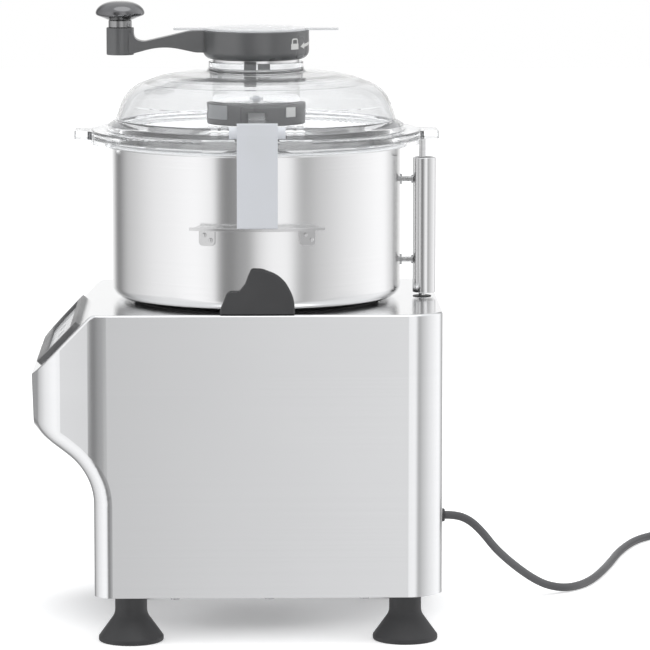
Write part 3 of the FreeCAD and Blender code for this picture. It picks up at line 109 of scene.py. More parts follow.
@dataclass
class Form:
    """Points in millimetres and faces of one or more closed surfaces."""

    points: np.ndarray
    faces: list[list[int]]

    def __add__(self, other: Form) -> Form:
        """Both forms as one."""
        shift = len(self.points)
        return Form(np.vstack([self.points, other.points]),
                    self.faces + [[index + shift for index in face] for face in other.faces])

    def moved(self, x: float = 0.0, y: float = 0.0, z: float = 0.0) -> Form:
        """The form shifted by a distance along each axis."""
        return Form(self.points + np.array([x, y, z]), self.faces)

    def turned(self, degrees: float, axis: str) -> Form:
        """The form turned about the x or y axis: the two other coordinates mix by cos and sin."""
        first, second = {"x": (1, 2), "y": (2, 0)}[axis]
        angle = math.radians(degrees)
        a, b = self.points[:, first], self.points[:, second]
        out = self.points.copy()
        out[:, first] = a * math.cos(angle) - b * math.sin(angle)
        out[:, second] = a * math.sin(angle) + b * math.cos(angle)
        return Form(out, self.faces)

    def piece(self, name: str, finish: Finish, body: str, replaces: tuple[str, ...] = (),
              bevel: float = 0.0, sharp: float = 35.0) -> Piece:
        """Make the Blender object of this form, dressed and riding on a body.

        Args:
            name: the piece's name.
            finish: what it is made of.
            body: the body that carries it.
            replaces: the solids that it stands for.
            bevel: width of the rounding of its sharp edges, in millimetres.
            sharp: edges that turn more than this many degrees stay sharp.

        Returns:
            The object.
        """
        mesh = bpy.data.meshes.new(name)
        mesh.from_pydata((self.points * MM).tolist(), [], self.faces)
        work = bmesh.new()
        work.from_mesh(mesh)
        bmesh.ops.recalc_face_normals(work, faces=work.faces)
        work.to_mesh(mesh)
        work.free()
        mesh.shade_smooth()
        mesh.set_sharp_from_angle(angle=math.radians(sharp))
        piece = placed(name, mesh)
        mesh.materials.append(finish.material())
        if bevel:
            rounding = piece.modifiers.new("edge_rounding", "BEVEL")
            rounding.width = bevel * MM
            rounding.segments = 3
            rounding.limit_method = "ANGLE"
            rounding.angle_limit = math.radians(sharp)
            rounding.harden_normals = True
        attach(piece, body)
        if replaces:
            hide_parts(*replaces)
        return piece


def placed(name: str, data: bpy.types.ID) -> Piece:
    """A new object of those data, at the origin of the scene."""
    made = bpy.data.objects.new(name, data)
    bpy.context.scene.collection.objects.link(made)
    return made


def grid(points: np.ndarray, wrap_across: bool, wrap_along: bool) -> Form:
    """A form of four-sided faces over points given as rows and columns.

    Face (i, j) joins point (i, j) with its neighbours (i + 1, j), (i + 1, j + 1) and (i, j + 1),
    and a wrapped direction joins its last line to its first.
    """
    rows, columns = points.shape[:2]
    i = np.arange(rows if wrap_across else rows - 1)[:, None]
    j = np.arange(columns if wrap_along else columns - 1)[None, :]
    here, below = i % rows * columns, (i + 1) % rows * columns
    faces = np.stack([here + j % columns, below + j % columns, below + (j + 1) % columns,
                      here + (j + 1) % columns], axis=-1)
    return Form(points.reshape(-1, 3), faces.reshape(-1, 4).tolist())


def capped(rings: np.ndarray) -> Form:
    """A form through rings of points given one after another, with a flat face at each end."""
    form = grid(rings, False, True)
    count, total = rings.shape[1], len(form.points)
    form.faces += [list(range(count)), list(range(total - count, total))]
    return form


def lifted(outline: Outline, height: float) -> np.ndarray:
    """A flat outline's points with a height as their third number."""
    return np.column_stack([outline, np.full(len(outline), height)])


def revolved(outline: Outline, x: float = AXIS_X, y: float = 0.0, segments: int = 160) -> Form:
    """A closed outline of (radius, height) turned round an upright axis.

    A point is (x + r cos a, y + r sin a, height). Where the outline starts and ends on the axis,
    those two points close the form as poles.
    """
    angle = np.arange(segments) * 2 * math.pi / segments
    has_poles = outline[0, 0] < 1e-6
    rings = outline[1:-1] if has_poles else outline
    points = np.stack(np.broadcast_arrays(
        x + np.cos(angle)[:, None] * rings[:, 0], y + np.sin(angle)[:, None] * rings[:, 0],
        rings[:, 1]), axis=-1)
    form = grid(points, True, not has_poles)
    if has_poles:
        count, rows = len(rings), len(form.points)
        form.points = np.vstack([form.points, [[x, y, outline[0, 1]], [x, y, outline[-1, 1]]]])
        near = np.arange(segments) * count
        after = np.roll(near, -1)
        form.faces += np.stack([np.full(segments, rows), after, near], 1).tolist()
        form.faces += np.stack([np.full(segments, rows + 1), near + count - 1, after + count - 1], 1).tolist()
    return form


def swept(path: np.ndarray, outline: Outline, side: Spot) -> Form:
    """An outline carried along a path, with flat ends.

    At each path point the outline's x runs along the side direction made square to the path, and its
    y along the cross product of the path's direction and that side.
    """
    along = np.gradient(path, axis=0)
    along /= np.linalg.norm(along, axis=1)[:, None]
    across = np.array(side, float) - (along @ np.array(side, float))[:, None] * along
    across /= np.linalg.norm(across, axis=1)[:, None]
    up = np.cross(along, across)
    return capped(path[:, None] + outline[None, :, :1] * across[:, None] + outline[None, :, 1:] * up[:, None])


def plate(outline: Outline, low: float, high: float) -> Form:
    """A flat plate of that outline, lying between two heights."""
    return capped(np.stack([lifted(outline, low), lifted(outline, high)]))


def strip(across: np.ndarray, low: np.ndarray, high: np.ndarray, skin: float) -> Form:
    """A thin solid between a lower and an upper curve, cut across into enough stretches to be bent."""
    back, front = np.full(len(across), -STRIP_ROOT), np.full(len(across), skin)
    return capped(np.stack([np.column_stack(edge) for edge in (
        (across, low, back), (across, high, back), (across, high, front), (across, low, front))], axis=1))


def wrapped(form: Form, radius: float, angle: float, level: float = 0.0) -> Form:
    """Bend a flat form round the bowl's axis: x becomes an arc length, y a height and z a distance out."""
    x, y, z = form.points.T
    spin, reach = math.radians(angle) + x / radius, radius + z
    return Form(np.stack([AXIS_X + reach * np.cos(spin), reach * np.sin(spin), level + y], 1), form.faces)


class Weave:
    """Short calls for adding shader nodes and joining their sockets."""

    def __init__(self, tree: Tree) -> None:
        """Remember the tree."""
        self.tree = tree

    @classmethod
    def fresh(cls, owner: bpy.types.Material | bpy.types.World) -> Weave:
        """Start on the emptied node tree of a material or world."""
        owner.use_nodes = True
        owner.node_tree.nodes.clear()
        return cls(owner.node_tree)

    def node(self, kind: str, settings: dict | None = None, **inputs: object) -> Node:
        """Add a node.

        Args:
            kind: the node's type, without its leading ShaderNode.
            settings: its own properties.
            inputs: a number, colour or socket for each input, spaces written as underscores.

        Returns:
            The node.
        """
        made = self.tree.nodes.new(f"ShaderNode{kind}")
        for name, choice in (settings or {}).items():
            setattr(made, name, choice)
        for name, source in inputs.items():
            key = int(name[1:]) if name[1:].isdigit() else name.replace("_", " ")
            if isinstance(source, Socket):
                self.tree.links.new(source, made.inputs[key])
            else:
                made.inputs[key].default_value = source
        return made

    def group(self, tree: Tree, **inputs: object) -> Node:
        """Add a node group."""
        return self.node("Group", {"node_tree": tree}, **inputs)

    def math(self, operation: str, first: object, second: object) -> Socket:
        """Work out one number from two."""
        return self.node("Math", {"operation": operation}, i0=first, i1=second).outputs[0]

    def mix(self, share: Socket, first: object, second: object) -> Socket:
        """Mix two colours, each a socket or a plain colour."""
        both = [(*colour, 1.0) if isinstance(colour, tuple) else colour for colour in (first, second)]
        return self.node("MixRGB", Fac=share, Color1=both[0], Color2=both[1]).outputs["Color"]

    def noise(self, place: object, scale: object, detail: float, roughness: float = 0.5) -> Socket:
        """Add a noise between nought and one."""
        return self.node("TexNoise", Vector=place, Scale=scale, Detail=detail, Roughness=roughness).outputs["Fac"]

    def span(self, value: Socket, start: Pair, end: tuple[object, object] = (0.0, 1.0),
             kind: str = "LINEAR") -> Socket:
        """Carry a number from one range over to another and hold it there."""
        made = self.node("MapRange", {"interpolation_type": kind}, Value=value, From_Min=start[0],
                         From_Max=start[1], To_Min=end[0], To_Max=end[1])
        return made.outputs["Result"]

    def ramp(self, factor: Socket, stops: list[tuple[float, Colour]]) -> Socket:
        """Add a colour ramp with those stops."""
        made = self.node("ValToRGB", Fac=factor)
        elements = made.color_ramp.elements
        elements[0].position, elements[1].position = stops[0][0], stops[-1][0]
        elements[0].color, elements[1].color = (*stops[0][1], 1.0), (*stops[-1][1], 1.0)
        for place, colour in stops[1:-1]:
            elements.new(place).color = (*colour, 1.0)
        return made.outputs["Color"]


def group_tree(name: str, inputs: dict[str, tuple[str, object]], outputs: dict[str, str]
               ) -> tuple[Weave, Node, Node]:
    """Start a shader node group.

    Args:
        name: the group's name.
        inputs: socket type and default for each input.
        outputs: socket type for each output.

    Returns:
        The group's weave, its input node and its output node.
    """
    tree = bpy.data.node_groups.new(name, "ShaderNodeTree")
    for label, (kind, start) in inputs.items():
        socket = tree.interface.new_socket(name=label, in_out="INPUT", socket_type=f"NodeSocket{kind}")
        if start is not None:
            socket.default_value = start
    for label, kind in outputs.items():
        tree.interface.new_socket(name=label, in_out="OUTPUT", socket_type=f"NodeSocket{kind}")
    return Weave(tree), tree.nodes.new("NodeGroupInput"), tree.nodes.new("NodeGroupOutput")


@cache
def brushed_grain() -> Tree:
    """Fine lines: noise on coordinates stretched by a vector, as a height and as a tone."""
    weave, source, result = group_tree(
        "BrushedGrain", {"Vector": ("Vector", None), "Stretch": ("Vector", (1.0, 1.0, 1.0))},
        {"Height": "Float", "Tone": "Float"})
    stretched = weave.node("VectorMath", {"operation": "MULTIPLY"}, i0=source.outputs["Vector"],
                           i1=source.outputs["Stretch"])
    fine = weave.noise(stretched.outputs[0], 1.0, 3.0, 0.65)
    wide = weave.node("VectorMath", {"operation": "SCALE"}, i0=stretched.outputs[0], Scale=0.13)
    broad = weave.noise(wide.outputs[0], 1.0, 2.0)
    weave.tree.links.new(fine, result.inputs["Height"])
    weave.tree.links.new(broad, result.inputs["Tone"])
    return weave.tree


@cache
def moulded_skin() -> Tree:
    """The spark-eroded skin of moulded plastic: fine noise as a height and broad noise as a tone."""
    weave, source, result = group_tree(
        "MouldedSkin", {"Vector": ("Vector", None), "Scale": ("Float", 900.0)},
        {"Height": "Float", "Tone": "Float"})
    fine = weave.noise(source.outputs["Vector"], source.outputs["Scale"], 2.0, 0.6)
    broad = weave.noise(source.outputs["Vector"], 14.0, 3.0)
    weave.tree.links.new(fine, result.inputs["Height"])
    weave.tree.links.new(broad, result.inputs["Tone"])
    return weave.tree


@cache
def handling() -> Tree:
    """Roughness that drifts where hands and cloths have been: broad noise between two values."""
    weave, source, result = group_tree(
        "Handling", {"Vector": ("Vector", None), "Scale": ("Float", 9.0), "Smooth": ("Float", 0.2),
                     "Rough": ("Float", 0.4)}, {"Roughness": "Float"})
    noise = weave.noise(source.outputs["Vector"], source.outputs["Scale"], 4.0, 0.55)
    spread = weave.span(noise, (0.32, 0.68), (source.outputs["Smooth"], source.outputs["Rough"]))
    weave.tree.links.new(spread, result.inputs["Roughness"])
    return weave.tree


@cache
def edge_wear() -> Tree:
    """Where outer edges are rubbed: the surface's pointiness past a threshold, broken up by noise."""
    weave, source, result = group_tree(
        "EdgeWear", {"Vector": ("Vector", None), "Amount": ("Float", 0.3)}, {"Mask": "Float"})
    geometry = weave.node("NewGeometry")
    sharp = weave.span(geometry.outputs["Pointiness"], (0.53, 0.62))
    noise = weave.noise(source.outputs["Vector"], 160.0, 3.0)
    broken = weave.math("MULTIPLY", sharp, noise)
    held = weave.node("Math", {"operation": "MULTIPLY", "use_clamp": True}, i0=broken, i1=source.outputs["Amount"])
    weave.tree.links.new(held.outputs[0], result.inputs["Mask"])
    return weave.tree


class Grain(Enum):
    """How the fine relief of a surface runs."""

    MOULDED = "moulded"
    LINES = "lines"


@dataclass(frozen=True)
class Finish:
    """A surface: its colours, gloss, grain and what shows through it."""

    name: str
    slot: str
    light: Colour
    dark: Colour
    smooth: float = 0.3
    rough: float = 0.45
    metallic: float = 0.0
    grain: Grain = Grain.MOULDED
    stretch: Spot = (900.0, 900.0, 900.0)
    relief: float = 0.05
    scale: float = 900.0
    coat: float = 0.0
    wear: float = 0.0
    worn: Colour = (0.3, 0.3, 0.3)
    transmission: float = 0.0
    ior: float = 1.5
    specular: float = 0.5

    def material(self) -> bpy.types.Material:
        """The node material of this finish, built once."""
        label = f"look_{self.name}"
        if label in bpy.data.materials:
            return bpy.data.materials[label]
        made = bpy.data.materials.new(label)
        weave = Weave.fresh(made)
        place = weave.node("TexCoord").outputs["Object"]
        if self.grain is Grain.LINES:
            grain = weave.group(brushed_grain(), Vector=place, Stretch=self.stretch)
        else:
            grain = weave.group(moulded_skin(), Vector=place, Scale=self.scale)
        colour = weave.mix(weave.span(grain.outputs["Tone"], (0.3, 0.7)), self.dark, self.light)
        if self.wear:
            mask = weave.group(edge_wear(), Vector=place, Amount=self.wear)
            colour = weave.mix(mask.outputs["Mask"], colour, self.worn)
        gloss = weave.group(handling(), Vector=place, Smooth=self.smooth, Rough=self.rough)
        bump = weave.node("Bump", Strength=self.relief, Distance=0.0002, Height=grain.outputs["Height"])
        surface = weave.node(
            "BsdfPrincipled", Base_Color=colour, Roughness=gloss.outputs["Roughness"], Metallic=self.metallic,
            IOR=self.ior, Normal=bump.outputs["Normal"], Coat_Weight=self.coat,
            Transmission_Weight=self.transmission, Specular_IOR_Level=self.specular)
        if self.transmission:
            surface = self.lit_through(weave, surface)
        weave.node("OutputMaterial", Surface=surface.outputs[0])
        return made

    def lit_through(self, weave: Weave, surface: Node) -> Node:
        """Let light that isn't on its way to the camera pass straight through, as through a thin wall."""
        path = weave.node("LightPath")
        other = weave.math("MAXIMUM", path.outputs["Is Shadow Ray"], path.outputs["Is Diffuse Ray"])
        share = weave.math("MULTIPLY", other, self.transmission)
        open_way = weave.node("BsdfTransparent", Color=(*self.light, 1.0))
        return weave.node("MixShader", Fac=share, i1=surface.outputs[0], i2=open_way.outputs[0])


CASE_STEEL = Finish("case_steel", "brushed_case", (0.90, 0.905, 0.91), (0.885, 0.89, 0.895), 0.14, 0.18, 1.0,
                    Grain.LINES, (12.0, 12.0, 5200.0), 0.012)
BOWL_STEEL = Finish("bowl_steel", "satin_bowl", (0.90, 0.90, 0.90), (0.885, 0.885, 0.885), 0.15, 0.19, 1.0,
                    Grain.LINES, (12.0, 12.0, 5200.0), 0.01)
SHELF_STEEL = Finish("shelf_steel", "satin_bowl", (0.74, 0.74, 0.74), (0.66, 0.66, 0.66), 0.18, 0.3, 1.0,
                     scale=500.0, relief=0.03)
TUBE_STEEL = Finish("tube_steel", "satin_bowl", (0.86, 0.86, 0.86), (0.80, 0.80, 0.80), 0.1, 0.16, 1.0,
                    Grain.LINES, (900.0, 900.0, 20.0), 0.02)
BLADE_STEEL = Finish("blade_steel", "steel_blade", (0.82, 0.82, 0.83), (0.70, 0.70, 0.72), 0.16, 0.26, 1.0,
                     Grain.LINES, (1800.0, 90.0, 90.0), 0.03)
POLISHED_STEEL = Finish("polished_steel", "bright_steel", (0.88, 0.88, 0.88), (0.80, 0.80, 0.80), 0.05, 0.12,
                        1.0, Grain.LINES, (60.0, 60.0, 2200.0), 0.012)
ZINC_STEEL = Finish("zinc_steel", "zinc_steel", (0.60, 0.60, 0.61), (0.46, 0.46, 0.47), 0.2, 0.36, 1.0,
                    scale=420.0)
THREAD_STEEL = Finish("thread_steel", "zinc_steel", (0.42, 0.42, 0.42), (0.30, 0.30, 0.30), 0.12, 0.26, 1.0,
                      Grain.LINES, (1400.0, 40.0, 40.0), 0.4)
CAST_IRON = Finish("painted_casting", "cast_motor", (0.17, 0.19, 0.21), (0.12, 0.135, 0.15), 0.4, 0.6,
                   scale=380.0, relief=0.35, wear=0.5, worn=(0.4, 0.4, 0.4))
FOOT_RUBBER = Finish("foot_rubber", "black_rubber", (0.055, 0.055, 0.057), (0.035, 0.035, 0.037), 0.42, 0.6,
                     scale=1100.0, relief=0.12, wear=0.4, worn=(0.12, 0.12, 0.12))
BLACK_PLASTIC = Finish("black_plastic", "dark_plastic", (0.062, 0.062, 0.064), (0.045, 0.045, 0.047), 0.34,
                       0.46, scale=1300.0, relief=0.09, wear=0.4, worn=(0.12, 0.12, 0.12))
CRANK_PLASTIC = Finish("crank_plastic", "grey_plastic", (0.118, 0.12, 0.122), (0.1, 0.102, 0.104), 0.24, 0.34,
                       scale=1500.0, relief=0.06, wear=0.3, worn=(0.2, 0.2, 0.2), specular=1.0)
KNOB_PLASTIC = Finish("knob_plastic", "gloss_black", (0.20, 0.20, 0.205), (0.17, 0.17, 0.175), 0.1, 0.18, 0.9,
                      scale=500.0, relief=0.01, coat=0.3)
DISPLAY_BLACK = Finish("display_black", "gloss_black", (0.03, 0.03, 0.032), (0.024, 0.024, 0.026), 0.1, 0.2,
                       scale=500.0, relief=0.01, coat=0.3)
WHITE_PLASTIC = Finish("white_plastic", "white_plastic", (0.82, 0.82, 0.8), (0.76, 0.76, 0.74), 0.3, 0.45,
                       scale=1200.0, relief=0.06)
CLEAR_PLASTIC = Finish("clear_plastic", "clear_plastic", (0.985, 0.99, 0.995), (0.975, 0.98, 0.985), 0.0, 0.02,
                       scale=220.0, relief=0.004, transmission=0.95, ior=1.38)
LATCH_PLASTIC = Finish("latch_plastic", "latch_plastic", (0.80, 0.82, 0.87), (0.76, 0.78, 0.81), 0.28, 0.4,
                       relief=0.03)
SEAL_RUBBER = Finish("seal_rubber", "black_rubber", (0.82, 0.82, 0.82), (0.76, 0.76, 0.76), 0.3, 0.45,
                     transmission=0.5, ior=1.42)
CAP_PLASTIC = Finish("cap_plastic", "clear_plastic", (0.93, 0.94, 0.95), (0.90, 0.91, 0.92), 0.05, 0.12,
                     scale=220.0, relief=0.004, transmission=0.45, ior=1.49)
BEZEL_PLASTIC = Finish("bezel_plastic", "dark_plastic", (0.125, 0.125, 0.127), (0.105, 0.105, 0.107), 0.3, 0.42,
                       scale=1300.0, relief=0.06, wear=0.3, worn=(0.2, 0.2, 0.2))
MARK_GREY = Finish("mark_grey", "keypad_grey", (0.36, 0.37, 0.38), (0.33, 0.34, 0.35), 0.3, 0.4, scale=1200.0,
                   relief=0.04)
CORD_RUBBER = Finish("cord_rubber", "cord_rubber", (0.13, 0.13, 0.135), (0.10, 0.10, 0.104), 0.38, 0.5,
                     relief=0.06)
KEYPAD_FILM = Finish("keypad_film", "keypad_grey", (0.72, 0.73, 0.74), (0.68, 0.69, 0.70), 0.22, 0.34,
                     scale=2200.0, coat=0.2)
BOARD_MASK = Finish("board_mask", "green_board", (0.03, 0.16, 0.07), (0.02, 0.12, 0.05), 0.2, 0.34, scale=300.0,
                    relief=0.04, coat=0.3)
PIN_BRASS = Finish("pin_brass", "brass_pin", (0.78, 0.64, 0.36), (0.70, 0.56, 0.30), 0.16, 0.28, 1.0,
                   scale=600.0, relief=0.03)

DRESS = {
    CASE_STEEL: ("housing_shell", "base_plate"),
    ZINC_STEEL: ("base_screws", "foot_studs", "motor_plate", "motor_bolts", "seat_screws", "switch_bracket"),
    THREAD_STEEL: ("handle_bolts", "knob_axle"),
    FOOT_RUBBER: ("foot_front_near", "foot_front_far", "foot_rear_near", "foot_rear_far", "shaft_seal"),
    CAST_IRON: ("motor_case",),
    BLACK_PLASTIC: ("bowl_seat", "plunger_guide", "interlock_switch",
                    "cable_gland", "cooling_fan", "handle_bushes", "hub_cap", "scraper_carrier"),
    WHITE_PLASTIC: ("board_spacers", "run_capacitor", "knife_bush", "wipers"),
    KEYPAD_FILM: ("keypad_panel",),
    BOARD_MASK: ("control_board",),
    POLISHED_STEEL: ("shaft_bearing", "interlock_plunger", "drive_shaft", "interlock_rod", "latch_pins"),
    TUBE_STEEL: ("handle_tube",),
    CRANK_PLASTIC: ("knife_hub", "scraper_arm_near", "scraper_arm_far"),
    BLADE_STEEL: ("knife_blade_lower", "knife_blade_upper"),
    CLEAR_PLASTIC: ("lid_dome",),
    CAP_PLASTIC: ("feed_cap",),
    SEAL_RUBBER: ("lid_seal",),
    LATCH_PLASTIC: ("latch_near", "latch_far"),
    CORD_RUBBER: ("plug_body",),
    PIN_BRASS: ("plug_pins",),
}


def dress_solids(nodes: dict[str, Piece]) -> None:
    """Give each of the frame's objects, listed by name, its finish."""
    for finish, names in DRESS.items():
        for name in names:
            piece = nodes[name]
            for place in piece.material_slots:
                place.link = "OBJECT"
                place.material = finish.material()


@dataclass
class Studio:
    """The camera, lamp, floor and surroundings.

    The pairs ceiling, behind and painted_shadow_edge say where a change begins and is complete: by the direction's
    z, by its y, and by a distance from the machine scaled along each axis. The pair glow_and_painted_shadow is the
    floor's strength near and far; the weak glow near the machine is a painted shadow under it.
    """

    camera_x: float = -19.76
    camera_y: float = -3493.11
    camera_z: float = 718.95
    pitch: float = 7.53
    yaw: float = 1.3
    focal_pixels: float = 4050.0
    picture_pixels: float = 650.0
    sensor: float = 36.0
    lamp_place: Spot = (0.2, -0.5, 2.4)
    lamp_aim: float = 0.25
    lamp_size: float = 2.0
    lamp_watts: float = 9.0
    floor_size: float = 14000.0
    # painted shadow under the machine: the ellipse where the floor's glow is dimmed, and the glow's strength near
    # and far
    painted_shadow_scale: Spot = (6.4, 7.7, 0.0)
    painted_shadow_shift: Spot = (0.0, -0.5, 0.0)
    painted_shadow_edge: Pair = (0.7, 1.5)
    glow_and_painted_shadow: Pair = (0.07, 0.42)
    floor_bounce: Colour = (0.78, 0.78, 0.78)
    ceiling: Pair = (0.35, 0.8)
    ceiling_colour: Colour = (0.92, 0.93, 0.94)
    even: Colour = (0.95, 0.95, 0.95)
    even_share: float = 0.75
    behind: Pair = (0.86, 0.97)

    def build(self) -> None:
        """Make everything."""
        self.camera()
        self.world()
        self.lamp()
        self.floor()

    def camera(self) -> None:
        """The camera at the photograph's viewpoint."""
        data = bpy.data.cameras.new("camera")
        data.sensor_width = self.sensor
        data.lens = self.focal_pixels / self.picture_pixels * self.sensor
        camera = placed("camera", data)
        camera.location = ((self.camera_x + AXIS_X) * MM, self.camera_y * MM, self.camera_z * MM)
        camera.rotation_euler = (math.radians(90 - self.pitch), 0.0, math.radians(-self.yaw))
        data.clip_end = 100.0
        bpy.context.scene.camera = camera

    def world(self) -> None:
        """White behind the machine, and a ring of soft panels with dark gaps on the other sides.

        The ring's brightness is a function of the compass angle about Z, and it turns into an even
        bright ceiling where the direction climbs. The camera, and metal and glass that mirror or show
        what is behind the machine, all get the same white.
        """
        world = bpy.data.worlds.new("studio")
        bpy.context.scene.world = world
        weave = Weave.fresh(world)
        direction = weave.node("SeparateXYZ", Vector=weave.node("TexCoord").outputs["Generated"])
        towards = weave.math("MULTIPLY", direction.outputs["Y"], -1.0)
        compass = weave.math("ARCTAN2", direction.outputs["X"], towards)
        ring = weave.ramp(weave.span(compass, (-math.pi, math.pi)), self.ring_stops())
        height = weave.span(direction.outputs["Z"], self.ceiling, kind="SMOOTHSTEP")
        path = weave.node("LightPath")
        clear = path.outputs["Is Transmission Ray"]
        spread = weave.mix(weave.math("MULTIPLY", clear, self.even_share), ring, self.even)
        sky = weave.mix(height, spread, self.ceiling_colour)
        ahead = weave.span(direction.outputs["Y"], self.behind)
        bent = weave.math("MAXIMUM", clear, path.outputs["Is Glossy Ray"])
        through = weave.math("MULTIPLY", bent, ahead)
        seen = weave.math("MAXIMUM", path.outputs["Is Camera Ray"], through)
        background = weave.node("Background", Color=weave.mix(seen, sky, WHITE), Strength=1.0)
        weave.node("OutputWorld", Surface=background.outputs[0])

    @staticmethod
    def ring_stops() -> list[tuple[float, Colour]]:
        """Brightness round the ring, by the compass angle from the camera's side towards the right."""
        stops = [(-180, 0.75), (-157, 0.40), (-142, 0.22), (-126, 0.56), (-112, 0.68), (-90, 0.88), (-60, 1.03),
                 (-50, 1.06), (-36, 0.98), (-33, 0.90), (-31, 0.42), (-26, 0.22), (-20, 0.24), (-14, 0.36),
                 (-7, 0.40), (-3, 0.56), (0, 0.72), (6, 0.88), (12, 0.98), (24, 1.0), (28, 0.88), (33, 0.55),
                 (38, 0.44), (49, 0.61), (76, 0.86), (97, 1.0), (114, 1.08), (125, 1.07), (135, 0.78), (153, 0.30),
                 (180, 0.75)]
        return [((angle + 180) / 360, (level, level, level * 1.01)) for angle, level in stops]

    def lamp(self) -> None:
        """A large soft disc above, which faces the middle of the machine."""
        data = bpy.data.lights.new("top_box", "AREA")
        data.shape = "DISK"
        data.size = self.lamp_size
        data.energy = self.lamp_watts
        lamp = placed("top_box", data)
        lamp.location = self.lamp_place
        away = np.array(self.lamp_place) - np.array([0.0, 0.0, self.lamp_aim])
        away /= np.linalg.norm(away)
        lamp.rotation_euler = (math.acos(away[2]), 0.0, math.atan2(away[1], away[0]) + math.pi / 2)

    def floor(self) -> None:
        """A white floor that keeps the machine's shadow and glows outside an ellipse round it; inside the ellipse
        its glow is weak, a painted shadow under the machine.
        """
        half = self.floor_size / 2
        square = ((-half, -half), (half, -half), (half, half), (-half, half))
        mesh = bpy.data.meshes.new("floor")
        mesh.from_pydata([(x * MM, y * MM, 0.0) for x, y in square], [], [(0, 1, 2, 3)])
        floor = placed("floor", mesh)
        material = bpy.data.materials.new("floor_white")
        weave = Weave.fresh(material)
        path = weave.node("LightPath")
        seen = weave.math("MAXIMUM", path.outputs["Is Camera Ray"], path.outputs["Is Transmission Ray"])
        matte = weave.node("BsdfDiffuse", Color=weave.mix(seen, self.floor_bounce, WHITE))
        shade = weave.node("VectorMath", {"operation": "MULTIPLY_ADD"}, i0=weave.node("TexCoord").outputs["Object"],
                           i1=self.painted_shadow_scale, i2=self.painted_shadow_shift)
        away = weave.node("VectorMath", {"operation": "LENGTH"}, i0=shade.outputs[0])
        # painted shadow: the floor's glow falls off inside an ellipse under the machine, which darkens the floor
        # there
        lift = weave.span(away.outputs["Value"], self.painted_shadow_edge, self.glow_and_painted_shadow, "SMOOTHSTEP")
        strength = weave.math("MULTIPLY", seen, lift)
        glow_and_painted_shadow = weave.node("Emission", Color=(*WHITE, 1.0), Strength=strength)
        both = weave.node("AddShader", i0=matte.outputs[0], i1=glow_and_painted_shadow.outputs[0])
        weave.node("OutputMaterial", Surface=both.outputs[0])
        mesh.materials.append(material)
        floor.visible_glossy = False


@dataclass
class MainsCord:
    """The cord from its gland over the floor to a coil just outside the picture."""

    diameter: float = 7.2
    length: float = 1.53
    turns: float = 3.5
    points_per_turn: int = 18
    coil_x: float = 449.0
    coil_y: float = 385.0
    start_angle: float = 160.0
    inner: float = 39.6
    outer: float = 46.8
    low: float = 3.6
    high: float = 10.8
    exit: Spot = (164.5, 0.0, 89.0)
    run: tuple[Spot, ...] = (
        (175.0, 0.3, 89.0), (187.5, 4.0, 83.0), (199.0, 13.0, 70.5), (210.0, 29.0, 54.5),
        (222.0, 45.0, 41.0), (234.5, 58.5, 29.0), (248.0, 73.0, 17.5), (262.0, 86.0, 8.6),
        (279.0, 97.0, 4.0), (296.0, 115.0, 3.6), (311.5, 151.0, 3.6), (330.0, 216.0, 3.6),
        (344.5, 277.0, 3.6), (366.0, 336.0, 3.6), (389.0, 362.0, 3.6))
    tail: tuple[Spot, ...] = (
        (486.0, 349.0, 11.6), (478.0, 327.0, 15.2), (472.0, 302.0, 18.0), (470.5, 296.0, 18.4))

    def coil(self) -> np.ndarray:
        """Points of the coil's turns.

        The angle falls evenly. Three smooth steps, each a sixth of a turn long, take the radius
        inwards, the height up and the radius outwards again, where no other turn is in the way.
        """
        count = int(self.turns * self.points_per_turn) + 1
        turned = np.linspace(0.0, self.turns * 360.0, count)

        def step(start: float) -> np.ndarray:
            """Nought before a turned angle and one from 60 degrees past it, joined by 3 t^2 - 2 t^3."""
            share = np.clip((turned - start) / 60.0, 0.0, 1.0)
            return share * share * (3 - 2 * share)

        grow = 1 / math.cos(math.pi / self.points_per_turn)
        radius = (self.outer + (self.inner - self.outer) * (step(300.0) - step(900.0))) * grow
        height = self.low + (self.high - self.low) * step(600.0)
        angle = np.radians(self.start_angle - turned)
        return np.stack([self.coil_x + radius * np.cos(angle), self.coil_y + radius * np.sin(angle), height], 1)

    def build(self, nodes: dict[str, Piece]) -> Piece:
        points = np.vstack([[self.exit], self.run, self.coil(), self.tail])
        points[:, 0] += AXIS_X
        data = bpy.data.curves.new("mains_cord", "CURVE")
        data.dimensions = "3D"
        data.bevel_depth = self.diameter / 2 * MM
        data.bevel_resolution = 6
        data.resolution_u = 8
        data.use_fill_caps = True
        spline = data.splines.new("NURBS")
        spline.points.add(len(points) - 1)
        flat = np.column_stack([points * MM, np.ones(len(points))])
        spline.points.foreach_set("co", flat.ravel())
        spline.order_u = 3
        spline.use_endpoint_u = True
        cord = placed("mains_cord", data)
        data.materials.append(CORD_RUBBER.material())
        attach(cord, "base")
        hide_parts("power_cord", "cord_coil", "cord_tail")
        return cord


